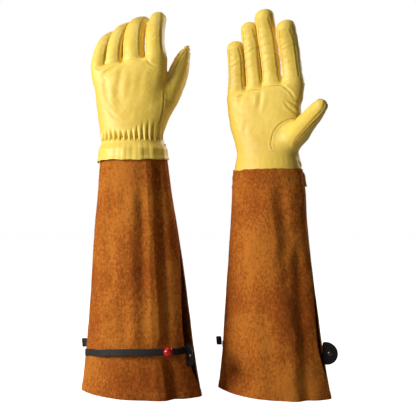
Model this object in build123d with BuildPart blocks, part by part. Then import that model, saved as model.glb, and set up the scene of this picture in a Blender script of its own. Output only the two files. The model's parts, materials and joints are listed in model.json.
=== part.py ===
from build123d import *

# A pair of leather beekeeping gauntlets, standing upright on the hems of their cuffs.
# The left glove turns its back to the front (-Y) and the right glove its palm, so both
# thumbs are on the +X side. Each glove is drawn in its own frame: x runs across the hand
# to the thumb, y runs from front to rear, and z runs up from the hem.
# Sizes are in millimetres and angles in degrees.

import os
from dataclasses import dataclass
from math import asin, cos, degrees, radians, sin

os.makedirs("parts", exist_ok=True)

SUEDE = 1.6
LEATHER = 1.2
SLACK = 0.3
SEAM = 0.2

# The cuff is an oval tube of split suede that flares over its lowest part.
HEM_HALF_WIDTH, HEM_HALF_DEPTH = 80.5, 39.0
FLARE_HEIGHT, FLARE_HALF_WIDTH = 65.0, 71.0
CUFF_HEIGHT, CUFF_HALF_WIDTH, CUFF_HALF_DEPTH = 305.0, 46.8, 29.0
LEAN = 0.032

# The thumb-side seam is open between these heights and widest at the tape.
SLIT_TOP, SLIT_WIDTH = 222.0, 8.0

# Heights above or below the line where the wrist is gathered.
PALM_CUFF_DROP, BACK_CUFF_DROP = 7.0, 12.0
BAND_DROP, TUCK_DROP = 29.0, 22.0
HAND_START, HAND_MIDDLE, KNUCKLES = 18.0, 60.0, 103.0
WRIST_HALF_WIDTH, WRIST_HALF_DEPTH = 41.0, 24.0

HAND_SECTIONS = [(42.0, 22.5), (46.7, 17.5), (51.5, 14.0)]
HAND_EDGE_FLAT = 1.5
KNUCKLE_SLOPE = 8.0
KNUCKLE_GAP = 0.3
SIDE_SLOPE = degrees(asin((HAND_SECTIONS[2][0] - HAND_SECTIONS[0][0]) / (KNUCKLES - HAND_START)))

ELASTIC_HEIGHT, ELASTIC_THICKNESS = 7.0, 0.8
THREAD_WIDTH, THREAD_HEIGHT, THREAD_CLEARANCE = 0.4, 0.6, 0.1
HEM_THREAD_Z, CUFF_THREAD_DROP = 8.5, 18.0

# Each finger is a tube with a round end, and is split into a front, a back and sidewalls.
FINGER_LENGTHS = {"index": 79.0, "middle": 99.5, "ring": 88.5, "little": 69.0}
FINGER_RADII = {"index": 12.3, "middle": 12.3, "ring": 10.9, "little": 10.3}
SIDEWALL_SHARE = 0.5
FINGER_ROOT = 6.0
FINGER_HINGE_OFFSET = 0.2

# The thumb is a tapering tube with two round ends, cut off along the side of the hand.
THUMB_LENGTH, THUMB_BASE_RADIUS, THUMB_TIP_RADIUS = 80.0, 14.0, 9.5
THUMB_HEIGHT = 41.0
THUMB_CLEARANCE = 0.6
THUMB_HINGE_Y = 23.5
THUMB_HOLE_UP, THUMB_HOLE_RADIUS, THUMB_HOLE_DEPTH = 30.0, 9.0, 30.0
WELT_WIDTH, WELT_THICKNESS, WELT_CLEARANCE = 1.6, 1.0, 0.1
GUSSET_ACROSS, GUSSET_HEIGHT, GUSSET_RADIUS = 40.0, 30.0, 32.0

TAPE_Z, TAPE_HEIGHT, TAPE_THICKNESS = 58.0, 9.0, 1.2
TAPE_STAND_OFF_ANGLES = (-22.0, 34.0)
TAPE_CONTACT_ANGLE = 40.0
BALL_RADIUS, BALL_CLEARANCE, BALL_ANGLE = 6.6, 0.8, 28.0
BALL_SLOT = (2 * BALL_RADIUS + 1, 2.4, TAPE_HEIGHT + 1)

TAB_Z, TAB_HALF_HEIGHT, TAB_FLAT, TAB_THICKNESS = 57.0, 14.7, 8.7, 2.0
TAB_ROOT, TAB_STAND_OFF = 1.0, 3.0
RIVET_X, RIVET_RADIUS, RIVET_HEAD_RADIUS, RIVET_HEAD = 12.5, 1.7, 3.4, 0.8
TAIL_Z, TAIL_HEIGHT, TAIL_LENGTH = 67.0, 11.0, 6.0

WIDE_ARC = 45.0

# Where the two gloves stand: their common bounding box is centred on the origin.
LEFT_ORIGIN, RIGHT_ORIGIN = (-95.48, 14.55), (82.72, 14.55)


@dataclass
class Finger:
    """How one finger stands on the hand: its place, its sideways lean and its curl."""

    name: str
    across: float
    fan: float
    curl: float

    @property
    def radius(self):
        return FINGER_RADII[self.name]

    @property
    def bend_radius(self):
        return (FINGER_LENGTHS[self.name] - self.radius) / radians(self.curl)


@dataclass
class Glove:
    """One glove: where it stands, how far it is turned, and how its hand is posed."""

    side: str
    palm: int
    origin: tuple
    turn: float
    wrist: float
    fingers: list
    thumb_across: float
    thumb_out: float
    thumb_forward: float
    tape_end: float
    tab_angle: float

    @property
    def frame(self):
        """The glove's own frame, turned about the vertical so the thumb comes forward."""
        x_axis = (cos(radians(self.turn)), -sin(radians(self.turn)), 0)
        return Plane(origin=(*self.origin, 0), x_dir=x_axis, z_dir=(0, 0, 1))

    @property
    def back(self):
        return -self.palm


LEFT = Glove(
    side="left",
    palm=1,
    origin=LEFT_ORIGIN,
    turn=12.0,
    wrist=337.0,
    fingers=[
        Finger("index", 34.5, 5.0, 56.0),
        Finger("middle", 4.5, 5.0, 70.0),
        Finger("ring", -22.3, 7.0, 66.0),
        Finger("little", -44.0, 7.0, 60.0),
    ],
    thumb_across=44.0,
    thumb_out=17.0,
    thumb_forward=10.0,
    tape_end=42.5,
    tab_angle=51.0,
)
RIGHT = Glove(
    side="right",
    palm=-1,
    origin=RIGHT_ORIGIN,
    turn=22.0,
    wrist=303.0,
    fingers=[
        Finger("index", 38.3, 3.5, 12.0),
        Finger("middle", 11.5, 3.0, 12.0),
        Finger("ring", -13.6, 4.0, 12.0),
        Finger("little", -38.0, 6.0, 12.0),
    ],
    thumb_across=42.0,
    thumb_out=54.0,
    thumb_forward=44.0,
    tape_end=65.0,
    tab_angle=6.0,
)


def placed(outer, origin, x_axis, z_axis):
    """A plane given in the coordinates of another plane."""
    return Plane(outer.location * Plane(origin=origin, x_dir=x_axis, z_dir=z_axis).location)


def between(low, high, share):
    return low + (high - low) * share


def lean(z):
    """How far the glove's centre line has moved along x at a height."""
    return -LEAN * z


class Oval:
    """An oval of four arcs: wide ones at front and rear, tight ones at the two sides."""

    def __init__(self, half_width, half_depth, centre_x):
        share = (1 - sin(radians(WIDE_ARC))) / cos(radians(WIDE_ARC))
        self.wide_radius = (half_width - share * half_depth) / (1 - share)
        self.drop = self.wide_radius - half_depth
        self.tight_radius = self.wide_radius - self.drop / cos(radians(WIDE_ARC))
        self.reach = (self.wide_radius - self.tight_radius) * sin(radians(WIDE_ARC))
        self.centre_x = centre_x

    def on_wide(self, side, angle, outward=0.0):
        """A point off the wide arc, at an angle from the middle towards the thumb."""
        distance = self.wide_radius + outward
        x = self.centre_x + distance * sin(radians(angle))
        return x, side * (distance * cos(radians(angle)) - self.drop)

    def on_tight(self, end, side, angle, outward=0.0):
        """A point off a tight arc, at an angle from straight front or rear."""
        distance = self.tight_radius + outward
        x = self.centre_x + end * (self.reach + distance * sin(radians(angle)))
        return x, side * distance * cos(radians(angle))

    def on_rim(self, side, angle, outward=0.0):
        """A point off the wide arc or off the tight arc at the thumb's side."""
        if angle <= WIDE_ARC:
            return self.on_wide(side, angle, outward)
        return self.on_tight(1, side, angle, outward)


def cuff_oval(z, outward=0.0):
    """The cuff's outer oval at a height, or one that runs outside or inside it."""
    if z < FLARE_HEIGHT:
        half_width = between(HEM_HALF_WIDTH, FLARE_HALF_WIDTH, z / FLARE_HEIGHT)
    else:
        share = (z - FLARE_HEIGHT) / (CUFF_HEIGHT - FLARE_HEIGHT)
        half_width = between(FLARE_HALF_WIDTH, CUFF_HALF_WIDTH, share)
    half_depth = between(HEM_HALF_DEPTH, CUFF_HALF_DEPTH, z / CUFF_HEIGHT)
    return Oval(half_width + outward, half_depth + outward, lean(z))


def wrist_oval(glove, rise, half_width, half_depth):
    return Oval(half_width, half_depth, lean(glove.wrist + rise))


def half_rim(oval, side, inward, gap_angle, seam_angle):
    """Three arcs along the front or the rear of an oval, from the thumb seam round."""
    thumb_centre = (oval.centre_x + oval.reach, 0)
    little_centre = (oval.centre_x - oval.reach, 0)
    tight = oval.tight_radius - inward
    start = CenterArc(thumb_centre, tight, side * gap_angle, side * (WIDE_ARC - gap_angle))
    CenterArc(
        (oval.centre_x, -side * oval.drop),
        oval.wide_radius - inward,
        side * WIDE_ARC,
        side * (180 - 2 * WIDE_ARC),
    )
    end = CenterArc(
        little_centre, tight, side * (180 - WIDE_ARC), side * (WIDE_ARC - seam_angle)
    )
    return start @ 0, end @ 1


def half_oval_wall(plane, oval, thickness, side, gap=SEAM):
    """Sketch the front or the rear half of an oval wall."""
    gap_angle = degrees(asin(gap / 2 / oval.tight_radius))
    seam_angle = degrees(asin(SEAM / 2 / oval.tight_radius))
    with BuildSketch(plane) as wall:
        with BuildLine():
            outer = half_rim(oval, side, 0, gap_angle, seam_angle)
            inner = half_rim(oval, side, thickness, gap_angle, seam_angle)
            Line(outer[0], inner[0])
            Line(outer[1], inner[1])
        make_face()
    return wall.sketch


def whole_rim(oval, inward):
    """The six arcs of an oval, or of one that runs inside it."""
    for side in (1, -1):
        half_rim(oval, side, inward, 0, 0)


def oval_ring(plane, oval, thickness):
    """Sketch a whole ring inside an oval."""
    with BuildSketch(plane) as ring:
        with BuildLine():
            whole_rim(oval, 0)
        make_face()
        with BuildLine():
            whole_rim(oval, thickness)
        make_face(mode=Mode.SUBTRACT)
    return ring.sketch


def finish(part, glove, name):
    """Name a finished piece and write it."""
    part.label = f"{glove.side}_{name}"
    export_step(part, f"parts/{part.label}.step")


# ---------------------------------------------------------------- cuff


def make_cuff_panel(glove, side, name, drop):
    """Front or rear panel of the cuff, with its edge of the open thumb-side seam."""
    top = glove.wrist - drop
    levels = [(0, SEAM), (FLARE_HEIGHT, SLIT_WIDTH), (SLIT_TOP, SEAM), (top, SEAM)]
    sections = [
        half_oval_wall(glove.frame.offset(z), cuff_oval(z), SUEDE, side, gap)
        for z, gap in levels
    ]
    with BuildPart() as panel:
        loft(sections, ruled=True)
    finish(panel.part, glove, name)


def make_hem_thread(glove):
    """Line of stitching round the cuff, just above its hem."""
    oval = cuff_oval(HEM_THREAD_Z, THREAD_CLEARANCE + THREAD_WIDTH)
    ring = oval_ring(glove.frame.offset(HEM_THREAD_Z), oval, THREAD_WIDTH)
    with BuildPart() as hem_thread:
        extrude(ring, amount=THREAD_HEIGHT)
    finish(hem_thread.part, glove, "hem_thread")


def make_cuff_thread(glove):
    """Stitching that joins the palm's cuff panel to the leather tucked into it."""
    z = glove.wrist - CUFF_THREAD_DROP
    oval = cuff_oval(z, THREAD_CLEARANCE + THREAD_WIDTH)
    strip = half_oval_wall(glove.frame.offset(z), oval, THREAD_WIDTH, glove.palm)
    with BuildPart() as cuff_thread:
        extrude(strip, amount=THREAD_HEIGHT)
    finish(cuff_thread.part, glove, "cuff_thread")


# ---------------------------------------------------------------- wrist


def make_wrist_half(glove, side, name, levels):
    """Leather between cuff and hand, lofted through ovals given by their rise."""
    sections = [
        half_oval_wall(glove.frame.offset(glove.wrist + rise), oval, LEATHER, side)
        for rise, oval in levels
    ]
    with BuildPart() as wrist_half:
        loft(sections, ruled=True)
    finish(wrist_half.part, glove, name)


def make_wrist(glove):
    """Band over the back of the cuff, leather tucked into its palm, and the elastic."""
    over = SLACK + LEATHER
    under = -(SLACK + SUEDE)
    band_top = -BACK_CUFF_DROP + 2
    end = HAND_START - KNUCKLE_GAP
    waist = wrist_oval(glove, 0, WRIST_HALF_WIDTH, WRIST_HALF_DEPTH)
    top = wrist_oval(glove, end, *HAND_SECTIONS[0])
    band_levels = [
        (-BAND_DROP, cuff_oval(glove.wrist - BAND_DROP, over)),
        (band_top, cuff_oval(glove.wrist + band_top, over)),
        (0, waist),
        (end, top),
    ]
    tuck_levels = [
        (-TUCK_DROP, cuff_oval(glove.wrist - TUCK_DROP, under)),
        (-PALM_CUFF_DROP, cuff_oval(glove.wrist - PALM_CUFF_DROP, under)),
        (0, waist),
        (end, top),
    ]
    make_wrist_half(glove, glove.back, "wrist_band", band_levels)
    make_wrist_half(glove, glove.palm, "wrist_leather", tuck_levels)

    inward = LEATHER + SLACK
    inside = wrist_oval(glove, 0, WRIST_HALF_WIDTH - inward, WRIST_HALF_DEPTH - inward)
    low = glove.frame.offset(glove.wrist - ELASTIC_HEIGHT / 2)
    strip = half_oval_wall(low, inside, ELASTIC_THICKNESS, glove.back)
    with BuildPart() as wrist_elastic:
        extrude(strip, amount=ELASTIC_HEIGHT)
    finish(wrist_elastic.part, glove, "wrist_elastic")


# ---------------------------------------------------------------- hand


def knuckle_plane(glove):
    """The slanting plane in which the hand ends and the fingers start."""
    z = glove.wrist + KNUCKLES
    slope = radians(KNUCKLE_SLOPE)
    return placed(
        glove.frame, (lean(z), 0, z), (cos(slope), 0, sin(slope)), (-sin(slope), 0, cos(slope))
    )


def side_plane(glove):
    """Plane along the thumb side of the hand: x runs up it, z faces away from the hand."""
    z = glove.wrist + HAND_START
    slope = radians(SIDE_SLOPE) - LEAN
    x = lean(z) + HAND_SECTIONS[0][0] + THUMB_CLEARANCE
    normal = (cos(slope), 0, -sin(slope))
    return placed(glove.frame, (x, 0, z), (sin(slope), 0, cos(slope)), normal)


def half_hand_rim(half_width, half_depth, side, inward, centre_x):
    """Half of a rounded outline, from the thumb side over to the other side."""
    radius = half_depth - HAND_EDGE_FLAT
    corner_x = half_width - radius
    corner_y = side * HAND_EDGE_FLAT
    edge = half_width - inward
    arc_radius = radius - inward
    level = corner_y + side * arc_radius
    Line((centre_x + edge, 0), (centre_x + edge, corner_y))
    CenterArc((centre_x + corner_x, corner_y), arc_radius, 0, side * 90)
    Line((centre_x + corner_x, level), (centre_x - corner_x, level))
    CenterArc((centre_x - corner_x, corner_y), arc_radius, side * 90, side * 90)
    Line((centre_x - edge, corner_y), (centre_x - edge, 0))


def half_hand_wall(plane, section, side, centre_x):
    half_width, half_depth = section
    with BuildSketch(plane) as wall:
        with BuildLine():
            for inward in (0, LEATHER):
                half_hand_rim(half_width, half_depth, side, inward, centre_x)
            for end in (1, -1):
                Line(
                    (centre_x + end * half_width, 0),
                    (centre_x + end * (half_width - LEATHER), 0),
                )
        make_face()
    return wall.sketch


def hand_half(glove, side):
    """Loft half of the hand's wall from the wrist to the knuckles."""
    sections = []
    for rise, section in zip((HAND_START, HAND_MIDDLE), HAND_SECTIONS):
        z = glove.wrist + rise
        sections.append(half_hand_wall(glove.frame.offset(z), section, side, lean(z)))
    sections.append(half_hand_wall(knuckle_plane(glove), HAND_SECTIONS[2], side, 0))
    loft(sections, ruled=True)


def thumb_plane(glove):
    """Plane at the root of the thumb: z runs to its tip and x to its outer edge."""
    out, forward = radians(glove.thumb_out), radians(glove.thumb_forward)
    axis = Vector(
        sin(out) * cos(forward), glove.palm * sin(forward), cos(out) * cos(forward)
    )
    outward = Vector(1, 0, 0) - axis * axis.X
    z = glove.wrist + THUMB_HEIGHT
    return placed(glove.frame, (lean(z) + glove.thumb_across, 0, z), outward, axis)


def thumb_hole(glove):
    """Cut the way from the hand into the thumb."""
    with Locations(placed(side_plane(glove), (THUMB_HOLE_UP, 0, 0), (1, 0, 0), (0, 0, 1))):
        Cylinder(THUMB_HOLE_RADIUS, THUMB_HOLE_DEPTH, mode=Mode.SUBTRACT)


def gusset_plane(glove):
    z = glove.wrist + GUSSET_HEIGHT
    return placed(glove.frame, (lean(z) + GUSSET_ACROSS, 0, z), (1, 0, 0), (0, 1, 0))


def make_hand(glove):
    """Back panel, palm panel and the round thumb gusset let into the palm."""
    with BuildPart() as back_panel:
        hand_half(glove, glove.back)
        thumb_hole(glove)
    finish(back_panel.part, glove, "back_panel")

    with BuildPart() as palm_panel:
        hand_half(glove, glove.palm)
        with Locations(gusset_plane(glove)):
            Cylinder(GUSSET_RADIUS, 2 * HEM_HALF_DEPTH, mode=Mode.SUBTRACT)
    finish(palm_panel.part, glove, "palm_panel")

    with BuildPart() as thumb_gusset:
        hand_half(glove, glove.palm)
        with Locations(gusset_plane(glove)):
            Cylinder(GUSSET_RADIUS - SEAM, 2 * HEM_HALF_DEPTH, mode=Mode.INTERSECT)
        thumb_hole(glove)
    finish(thumb_gusset.part, glove, "thumb_gusset")


# ---------------------------------------------------------------- fingers


def finger_plane(glove, finger):
    """Plane at the root of a finger: z runs up the finger, x across it."""
    fan = radians(finger.fan)
    return placed(
        knuckle_plane(glove), (finger.across, 0, 0), (cos(fan), 0, -sin(fan)), (sin(fan), 0, cos(fan))
    )


def finger_hinge(glove, finger):
    """Axis of a finger's fold: at the palm's face, turning the finger to the palm."""
    root = finger_plane(glove, finger)
    palm_face = HAND_SECTIONS[2][1] + FINGER_HINGE_OFFSET
    hinge = placed(root, (0, glove.palm * palm_face, 0), (0, 1, 0), (-glove.palm, 0, 0))
    return Axis(hinge.origin, hinge.z_dir)


def tip_plane(glove, finger):
    """Plane where a curled finger's round end starts."""
    curl = radians(finger.curl)
    origin = (0, glove.palm * finger.bend_radius * (1 - cos(curl)), finger.bend_radius * sin(curl))
    return placed(finger_plane(glove, finger), origin, (1, 0, 0), (0, glove.palm * sin(curl), cos(curl)))


def ring_sector(plane, radius, low, high):
    """Sketch the part of a ring that lies inside a rectangle given by its corners."""
    width, height = high[0] - low[0], high[1] - low[1]
    with BuildSketch(plane) as sector:
        Circle(radius)
        Circle(radius - LEATHER, mode=Mode.SUBTRACT)
        with Locations(((low[0] + high[0]) / 2, (low[1] + high[1]) / 2)):
            Rectangle(width, height, mode=Mode.INTERSECT)
    return sector.sketch


def x_axis_of(plane, direction, y=0.0):
    """Axis along a plane's x direction, or against it, through a point on its y axis."""
    line = placed(plane, (0, y, 0), (0, 1, 0), (direction, 0, 0))
    return Axis(line.origin, line.z_dir)


def finger_run(glove, finger, low, high):
    """The root and the curled length of one strip of a finger's wall."""
    root = finger_plane(glove, finger)
    strip = ring_sector(root, finger.radius, low, high)
    extrude(strip, amount=-FINGER_ROOT)
    revolve(
        strip,
        axis=x_axis_of(root, -glove.palm, glove.palm * finger.bend_radius),
        revolution_arc=finger.curl,
    )


def trim_root(glove):
    split(bisect_by=knuckle_plane(glove).offset(KNUCKLE_GAP), keep=Keep.TOP)


def make_finger_face(glove, finger, side, name):
    """Front or back of a finger, up to the seam over the middle of its tip."""
    reach = finger.radius + 1
    edge = SIDEWALL_SHARE * finger.radius
    low = (-reach, min(side * edge, side * reach))
    high = (reach, max(side * edge, side * reach))
    tip = tip_plane(glove, finger)
    with BuildPart() as face:
        finger_run(glove, finger, low, high)
        strip = ring_sector(tip, finger.radius, low, high)
        revolve(strip, axis=x_axis_of(tip, side), revolution_arc=90)
        trim_root(glove)
    finish(face.part, glove, f"{finger.name}_{name}")


def make_sidewalls(glove, finger):
    """The two strips let in along the sides of a finger, from root to tip."""
    reach = finger.radius + 1
    edge = SIDEWALL_SHARE * finger.radius
    tip = tip_plane(glove, finger)
    strips = []
    for low_x, high_x in ((-reach, 0), (0, reach)):
        with BuildPart() as strip:
            finger_run(glove, finger, (low_x, -edge), (high_x, edge))
            end = ring_sector(tip, finger.radius, (low_x, 0), (high_x, edge))
            revolve(end, axis=x_axis_of(tip, 1), revolution_arc=180)
            trim_root(glove)
        strips.append(strip.part)
    with BuildPart() as sidewalls:
        add(strips)
    finish(sidewalls.part, glove, f"{finger.name}_sidewalls")


def make_fingers(glove):
    for finger in glove.fingers:
        make_finger_face(glove, finger, glove.palm, "front")
        make_finger_face(glove, finger, glove.back, "back")
        make_sidewalls(glove, finger)


# ---------------------------------------------------------------- thumb


def thumb_hinge(glove):
    """Axis of the thumb's fold: up the side of the hand, at the palm's face."""
    return x_axis_of(side_plane(glove), glove.palm, -glove.palm * THUMB_HINGE_Y)


def half_ring(plane, radius, side):
    reach = radius + 1
    low = (-reach, min(0, side * reach))
    high = (reach, max(0, side * reach))
    return ring_sector(plane, radius, low, high)


def make_thumb_face(glove, side, name):
    """Front or back of the thumb, up to the seam over its tip."""
    root = thumb_plane(glove)
    tip = root.offset(THUMB_LENGTH)
    wide_end = half_ring(root, THUMB_BASE_RADIUS, side)
    narrow_end = half_ring(tip, THUMB_TIP_RADIUS, side)
    with BuildPart() as face:
        loft([wide_end, narrow_end], ruled=True)
        revolve(narrow_end, axis=x_axis_of(tip, side), revolution_arc=90)
        revolve(wide_end, axis=x_axis_of(root, -side), revolution_arc=90)
        split(bisect_by=side_plane(glove), keep=Keep.TOP)
    finish(face.part, glove, name)


def make_thumb_welt(glove):
    """Narrow strip of leather sewn into the thumb's outer seam."""
    root = thumb_plane(glove)
    start = THUMB_BASE_RADIUS + WELT_CLEARANCE
    end = THUMB_TIP_RADIUS + WELT_CLEARANCE
    outline = [
        (start, 0),
        (start + WELT_WIDTH, 0),
        (end + WELT_WIDTH, THUMB_LENGTH),
        (end, THUMB_LENGTH),
    ]
    with BuildPart() as welt:
        with BuildSketch(placed(root, (0, 0, 0), (1, 0, 0), (0, -1, 0))):
            Polygon(*outline, align=None)
        extrude(amount=WELT_THICKNESS / 2, both=True)
        split(bisect_by=side_plane(glove), keep=Keep.TOP)
    finish(welt.part, glove, "thumb_welt")


# ---------------------------------------------------------------- closure


def ball_stand_off():
    return BALL_RADIUS + BALL_CLEARANCE


def ball_place(glove):
    """Centre of the ball on its tape, seen in the glove's frame."""
    point = cuff_oval(TAPE_Z).on_wide(glove.back, BALL_ANGLE, ball_stand_off())
    return (*point, TAPE_Z + TAPE_HEIGHT / 2)


def ball_axis(glove):
    """Upright axis through the centre of the tape's arc, round which the ball slides."""
    oval = cuff_oval(TAPE_Z)
    centre = placed(
        glove.frame, (oval.centre_x, -glove.back * oval.drop, 0), (1, 0, 0), (0, 0, 1)
    )
    return Axis(centre.origin, (0, 0, -glove.back))


def make_tape(glove):
    """Elastic tape across the back of the cuff, raised where the ball slides on it."""
    oval = cuff_oval(TAPE_Z)
    side = glove.back
    close = SLACK + TAPE_THICKNESS / 2
    far = ball_stand_off()
    first, last = TAPE_STAND_OFF_ANGLES
    seam = oval.on_tight(-1, side, 88, close)
    little_corner = oval.on_wide(side, -WIDE_ARC, close)
    little_foot = oval.on_wide(side, -TAPE_CONTACT_ANGLE, close)
    raised = [oval.on_wide(side, angle, far) for angle in (first, (first + last) / 2, last)]
    thumb_foot = oval.on_wide(side, TAPE_CONTACT_ANGLE, close)
    corner_angle = min(WIDE_ARC, glove.tape_end)
    corner_bend = oval.on_wide(side, between(TAPE_CONTACT_ANGLE, corner_angle, 0.5), close)
    thumb_corner = oval.on_wide(side, corner_angle, close)
    end_bend = oval.on_rim(side, between(WIDE_ARC, glove.tape_end, 0.5), close)
    end = oval.on_rim(side, glove.tape_end, close)
    halfway = between(TAPE_CONTACT_ANGLE, WIDE_ARC, 0.5)
    with BuildPart() as tape:
        with BuildSketch(glove.frame.offset(TAPE_Z)):
            with BuildLine():
                ThreePointArc(seam, oval.on_tight(-1, side, 66, close), little_corner)
                ThreePointArc(little_corner, oval.on_wide(side, -halfway, close), little_foot)
                Line(little_foot, raised[0])
                ThreePointArc(*raised)
                Line(raised[2], thumb_foot)
                ThreePointArc(thumb_foot, corner_bend, thumb_corner)
                if glove.tape_end > WIDE_ARC:
                    ThreePointArc(thumb_corner, end_bend, end)
            trace(line_width=TAPE_THICKNESS)
        extrude(amount=TAPE_HEIGHT)
    finish(tape.part, glove, "closure_tape")


def make_ball(glove):
    """Round slider with a flat slot that the tape runs through."""
    angle = radians(BALL_ANGLE)
    tangent = (cos(angle), -glove.back * sin(angle), 0)
    centre = placed(glove.frame, ball_place(glove), tangent, (0, 0, 1))
    with BuildPart() as ball:
        with Locations(centre):
            Sphere(BALL_RADIUS, rotation=(0, 0, 90))
            Box(*BALL_SLOT, mode=Mode.SUBTRACT)
    finish(ball.part, glove, "closure_ball")


def tab_plane(glove):
    """Upright plane of the pull tab: x runs from its hinge to its round end, y runs up."""
    oval = cuff_oval(TAPE_Z)
    x, y = oval.on_rim(glove.back, glove.tape_end, TAB_STAND_OFF)
    angle = radians(glove.tab_angle)
    along = (cos(angle), glove.back * sin(angle), 0)
    across = (along[1], -along[0], 0)
    return placed(glove.frame, (x, y, TAB_Z), along, across)


def tab_hinge(glove):
    """Upright axis at the tab's root, turning the tab away from the cuff's back."""
    return Axis(tab_plane(glove).origin, (0, 0, -glove.back))


def make_tab(glove):
    """D-shaped pull tab at the end of the tape, and the rivet through it."""
    plane = tab_plane(glove)
    with BuildPart() as tab:
        with BuildSketch(plane):
            with BuildLine():
                Line((TAB_ROOT, TAB_HALF_HEIGHT), (TAB_ROOT, -TAB_HALF_HEIGHT))
                Line((TAB_ROOT, -TAB_HALF_HEIGHT), (TAB_FLAT, -TAB_HALF_HEIGHT))
                CenterArc((TAB_FLAT, 0), TAB_HALF_HEIGHT, -90, 180)
                Line((TAB_FLAT, TAB_HALF_HEIGHT), (TAB_ROOT, TAB_HALF_HEIGHT))
            make_face()
            with Locations((RIVET_X, 0)):
                Circle(RIVET_RADIUS + THREAD_CLEARANCE, mode=Mode.SUBTRACT)
        extrude(amount=TAB_THICKNESS / 2, both=True)
    finish(tab.part, glove, "pull_tab")

    head_middle = (TAB_THICKNESS + RIVET_HEAD) / 2 + WELT_CLEARANCE
    with BuildPart() as rivet:
        with Locations(placed(plane, (RIVET_X, 0, 0), (1, 0, 0), (0, 0, 1))):
            Cylinder(RIVET_RADIUS, 2 * head_middle)
        for end in (1, -1):
            with Locations(placed(plane, (RIVET_X, 0, end * head_middle), (1, 0, 0), (0, 0, 1))):
                Cylinder(RIVET_HEAD_RADIUS, RIVET_HEAD)
    finish(rivet.part, glove, "tab_rivet")


def make_tape_tail(glove):
    """Short end of the tape that stands out of the seam on the little-finger side."""
    x = cuff_oval(TAIL_Z).on_tight(-1, glove.back, 90, SLACK)[0] - TAIL_LENGTH / 2
    corner = placed(glove.frame, (x, 0, TAIL_Z + TAIL_HEIGHT / 2), (1, 0, 0), (0, 0, 1))
    with BuildPart() as tail:
        with Locations(corner):
            Box(TAIL_LENGTH, TAPE_THICKNESS, TAIL_HEIGHT)
    finish(tail.part, glove, "tape_tail")


def make_glove(glove):
    make_cuff_panel(glove, glove.palm, "palm_cuff", PALM_CUFF_DROP)
    make_cuff_panel(glove, glove.back, "back_cuff", BACK_CUFF_DROP)
    make_hem_thread(glove)
    make_cuff_thread(glove)
    make_wrist(glove)
    make_hand(glove)
    make_fingers(glove)
    make_thumb_face(glove, glove.palm, "thumb_front")
    make_thumb_face(glove, glove.back, "thumb_back")
    make_thumb_welt(glove)
    make_tape(glove)
    make_ball(glove)
    make_tab(glove)
    make_tape_tail(glove)


for pair_member in (LEFT, RIGHT):
    make_glove(pair_member)
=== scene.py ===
import json
import math
from itertools import product

import bmesh
import bpy
import numpy as np
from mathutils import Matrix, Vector
from mathutils.bvhtree import BVHTree


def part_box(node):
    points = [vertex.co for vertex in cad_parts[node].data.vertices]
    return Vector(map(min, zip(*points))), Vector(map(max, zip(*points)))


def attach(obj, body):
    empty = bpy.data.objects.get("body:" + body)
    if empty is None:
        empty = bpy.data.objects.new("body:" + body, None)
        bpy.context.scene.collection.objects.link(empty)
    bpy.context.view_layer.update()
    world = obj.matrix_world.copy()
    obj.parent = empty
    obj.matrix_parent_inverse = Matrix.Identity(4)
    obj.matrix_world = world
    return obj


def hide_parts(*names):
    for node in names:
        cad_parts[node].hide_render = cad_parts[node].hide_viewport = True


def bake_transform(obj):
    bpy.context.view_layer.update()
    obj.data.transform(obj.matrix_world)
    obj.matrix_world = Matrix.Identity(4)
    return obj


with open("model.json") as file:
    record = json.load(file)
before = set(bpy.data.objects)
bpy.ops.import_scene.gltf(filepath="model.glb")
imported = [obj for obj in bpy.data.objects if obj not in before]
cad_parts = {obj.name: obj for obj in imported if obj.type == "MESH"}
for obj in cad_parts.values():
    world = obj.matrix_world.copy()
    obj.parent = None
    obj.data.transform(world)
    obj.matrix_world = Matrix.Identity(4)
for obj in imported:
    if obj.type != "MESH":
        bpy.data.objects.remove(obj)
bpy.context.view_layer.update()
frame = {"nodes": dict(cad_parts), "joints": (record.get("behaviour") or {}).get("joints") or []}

# A pair of leather beekeeping gauntlets. Each glove is worked out in its own frame, whose
# origin is the middle of the gathered wrist: x runs across to the thumb, y from front to
# rear and h up the hand. Lengths are in millimetres until a mesh is made.

MM = 0.001
JOINTS = {joint["name"]: joint for joint in frame["joints"]}

LEAN = 0.032
SUEDE, LEATHER = 1.6, 1.2
HEM_HALF = (80.5, 39.0)
FLARE_HEIGHT, FLARE_HALF_WIDTH = 65.0, 71.0
CUFF_HEIGHT, CUFF_HALF = 305.0, (46.8, 29.0)
SLIT_TOP, SLIT_WIDEST = 222.0, 65.0
HEM_ROW, CUFF_ROW_DROP = 8.8, 18.0
STITCH, STITCH_GAP, STITCH_RADIUS = 3.0, 1.1, 0.42
WIDE_ARC = math.radians(45)
PALM_DROP, BACK_DROP = 7.0, 12.0
BAND_DROP, TUCK_DROP = 29.0, 22.0
HAND_START, KNUCKLES = 16.0, 103.0
KNUCKLE_SLOPE = math.radians(8)
SIDE_START, SIDE_SLOPE = 42.6, 0.080
VOXEL = 1.25

FINGER_LENGTHS = {"index": 79.0, "middle": 99.5, "ring": 88.5, "little": 69.0}
FINGER_RADII = {"index": 11.5, "middle": 11.3, "ring": 10.2, "little": 10.0}
STRAIGHT_CURL = 30.0
FINGER_GAP = 1.5
GATHERS = 30


# ---------------------------------------------------------------- small maths


def smooth_step(low, high, x):
    t = np.clip((x - low) / (high - low), 0, 1)
    return t * t * (3 - 2 * t)


def bell(x, width):
    return np.exp(-((x / width) ** 2))


def unit(v):
    return v / np.maximum(np.linalg.norm(v, axis=-1, keepdims=True), 1e-9)


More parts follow.
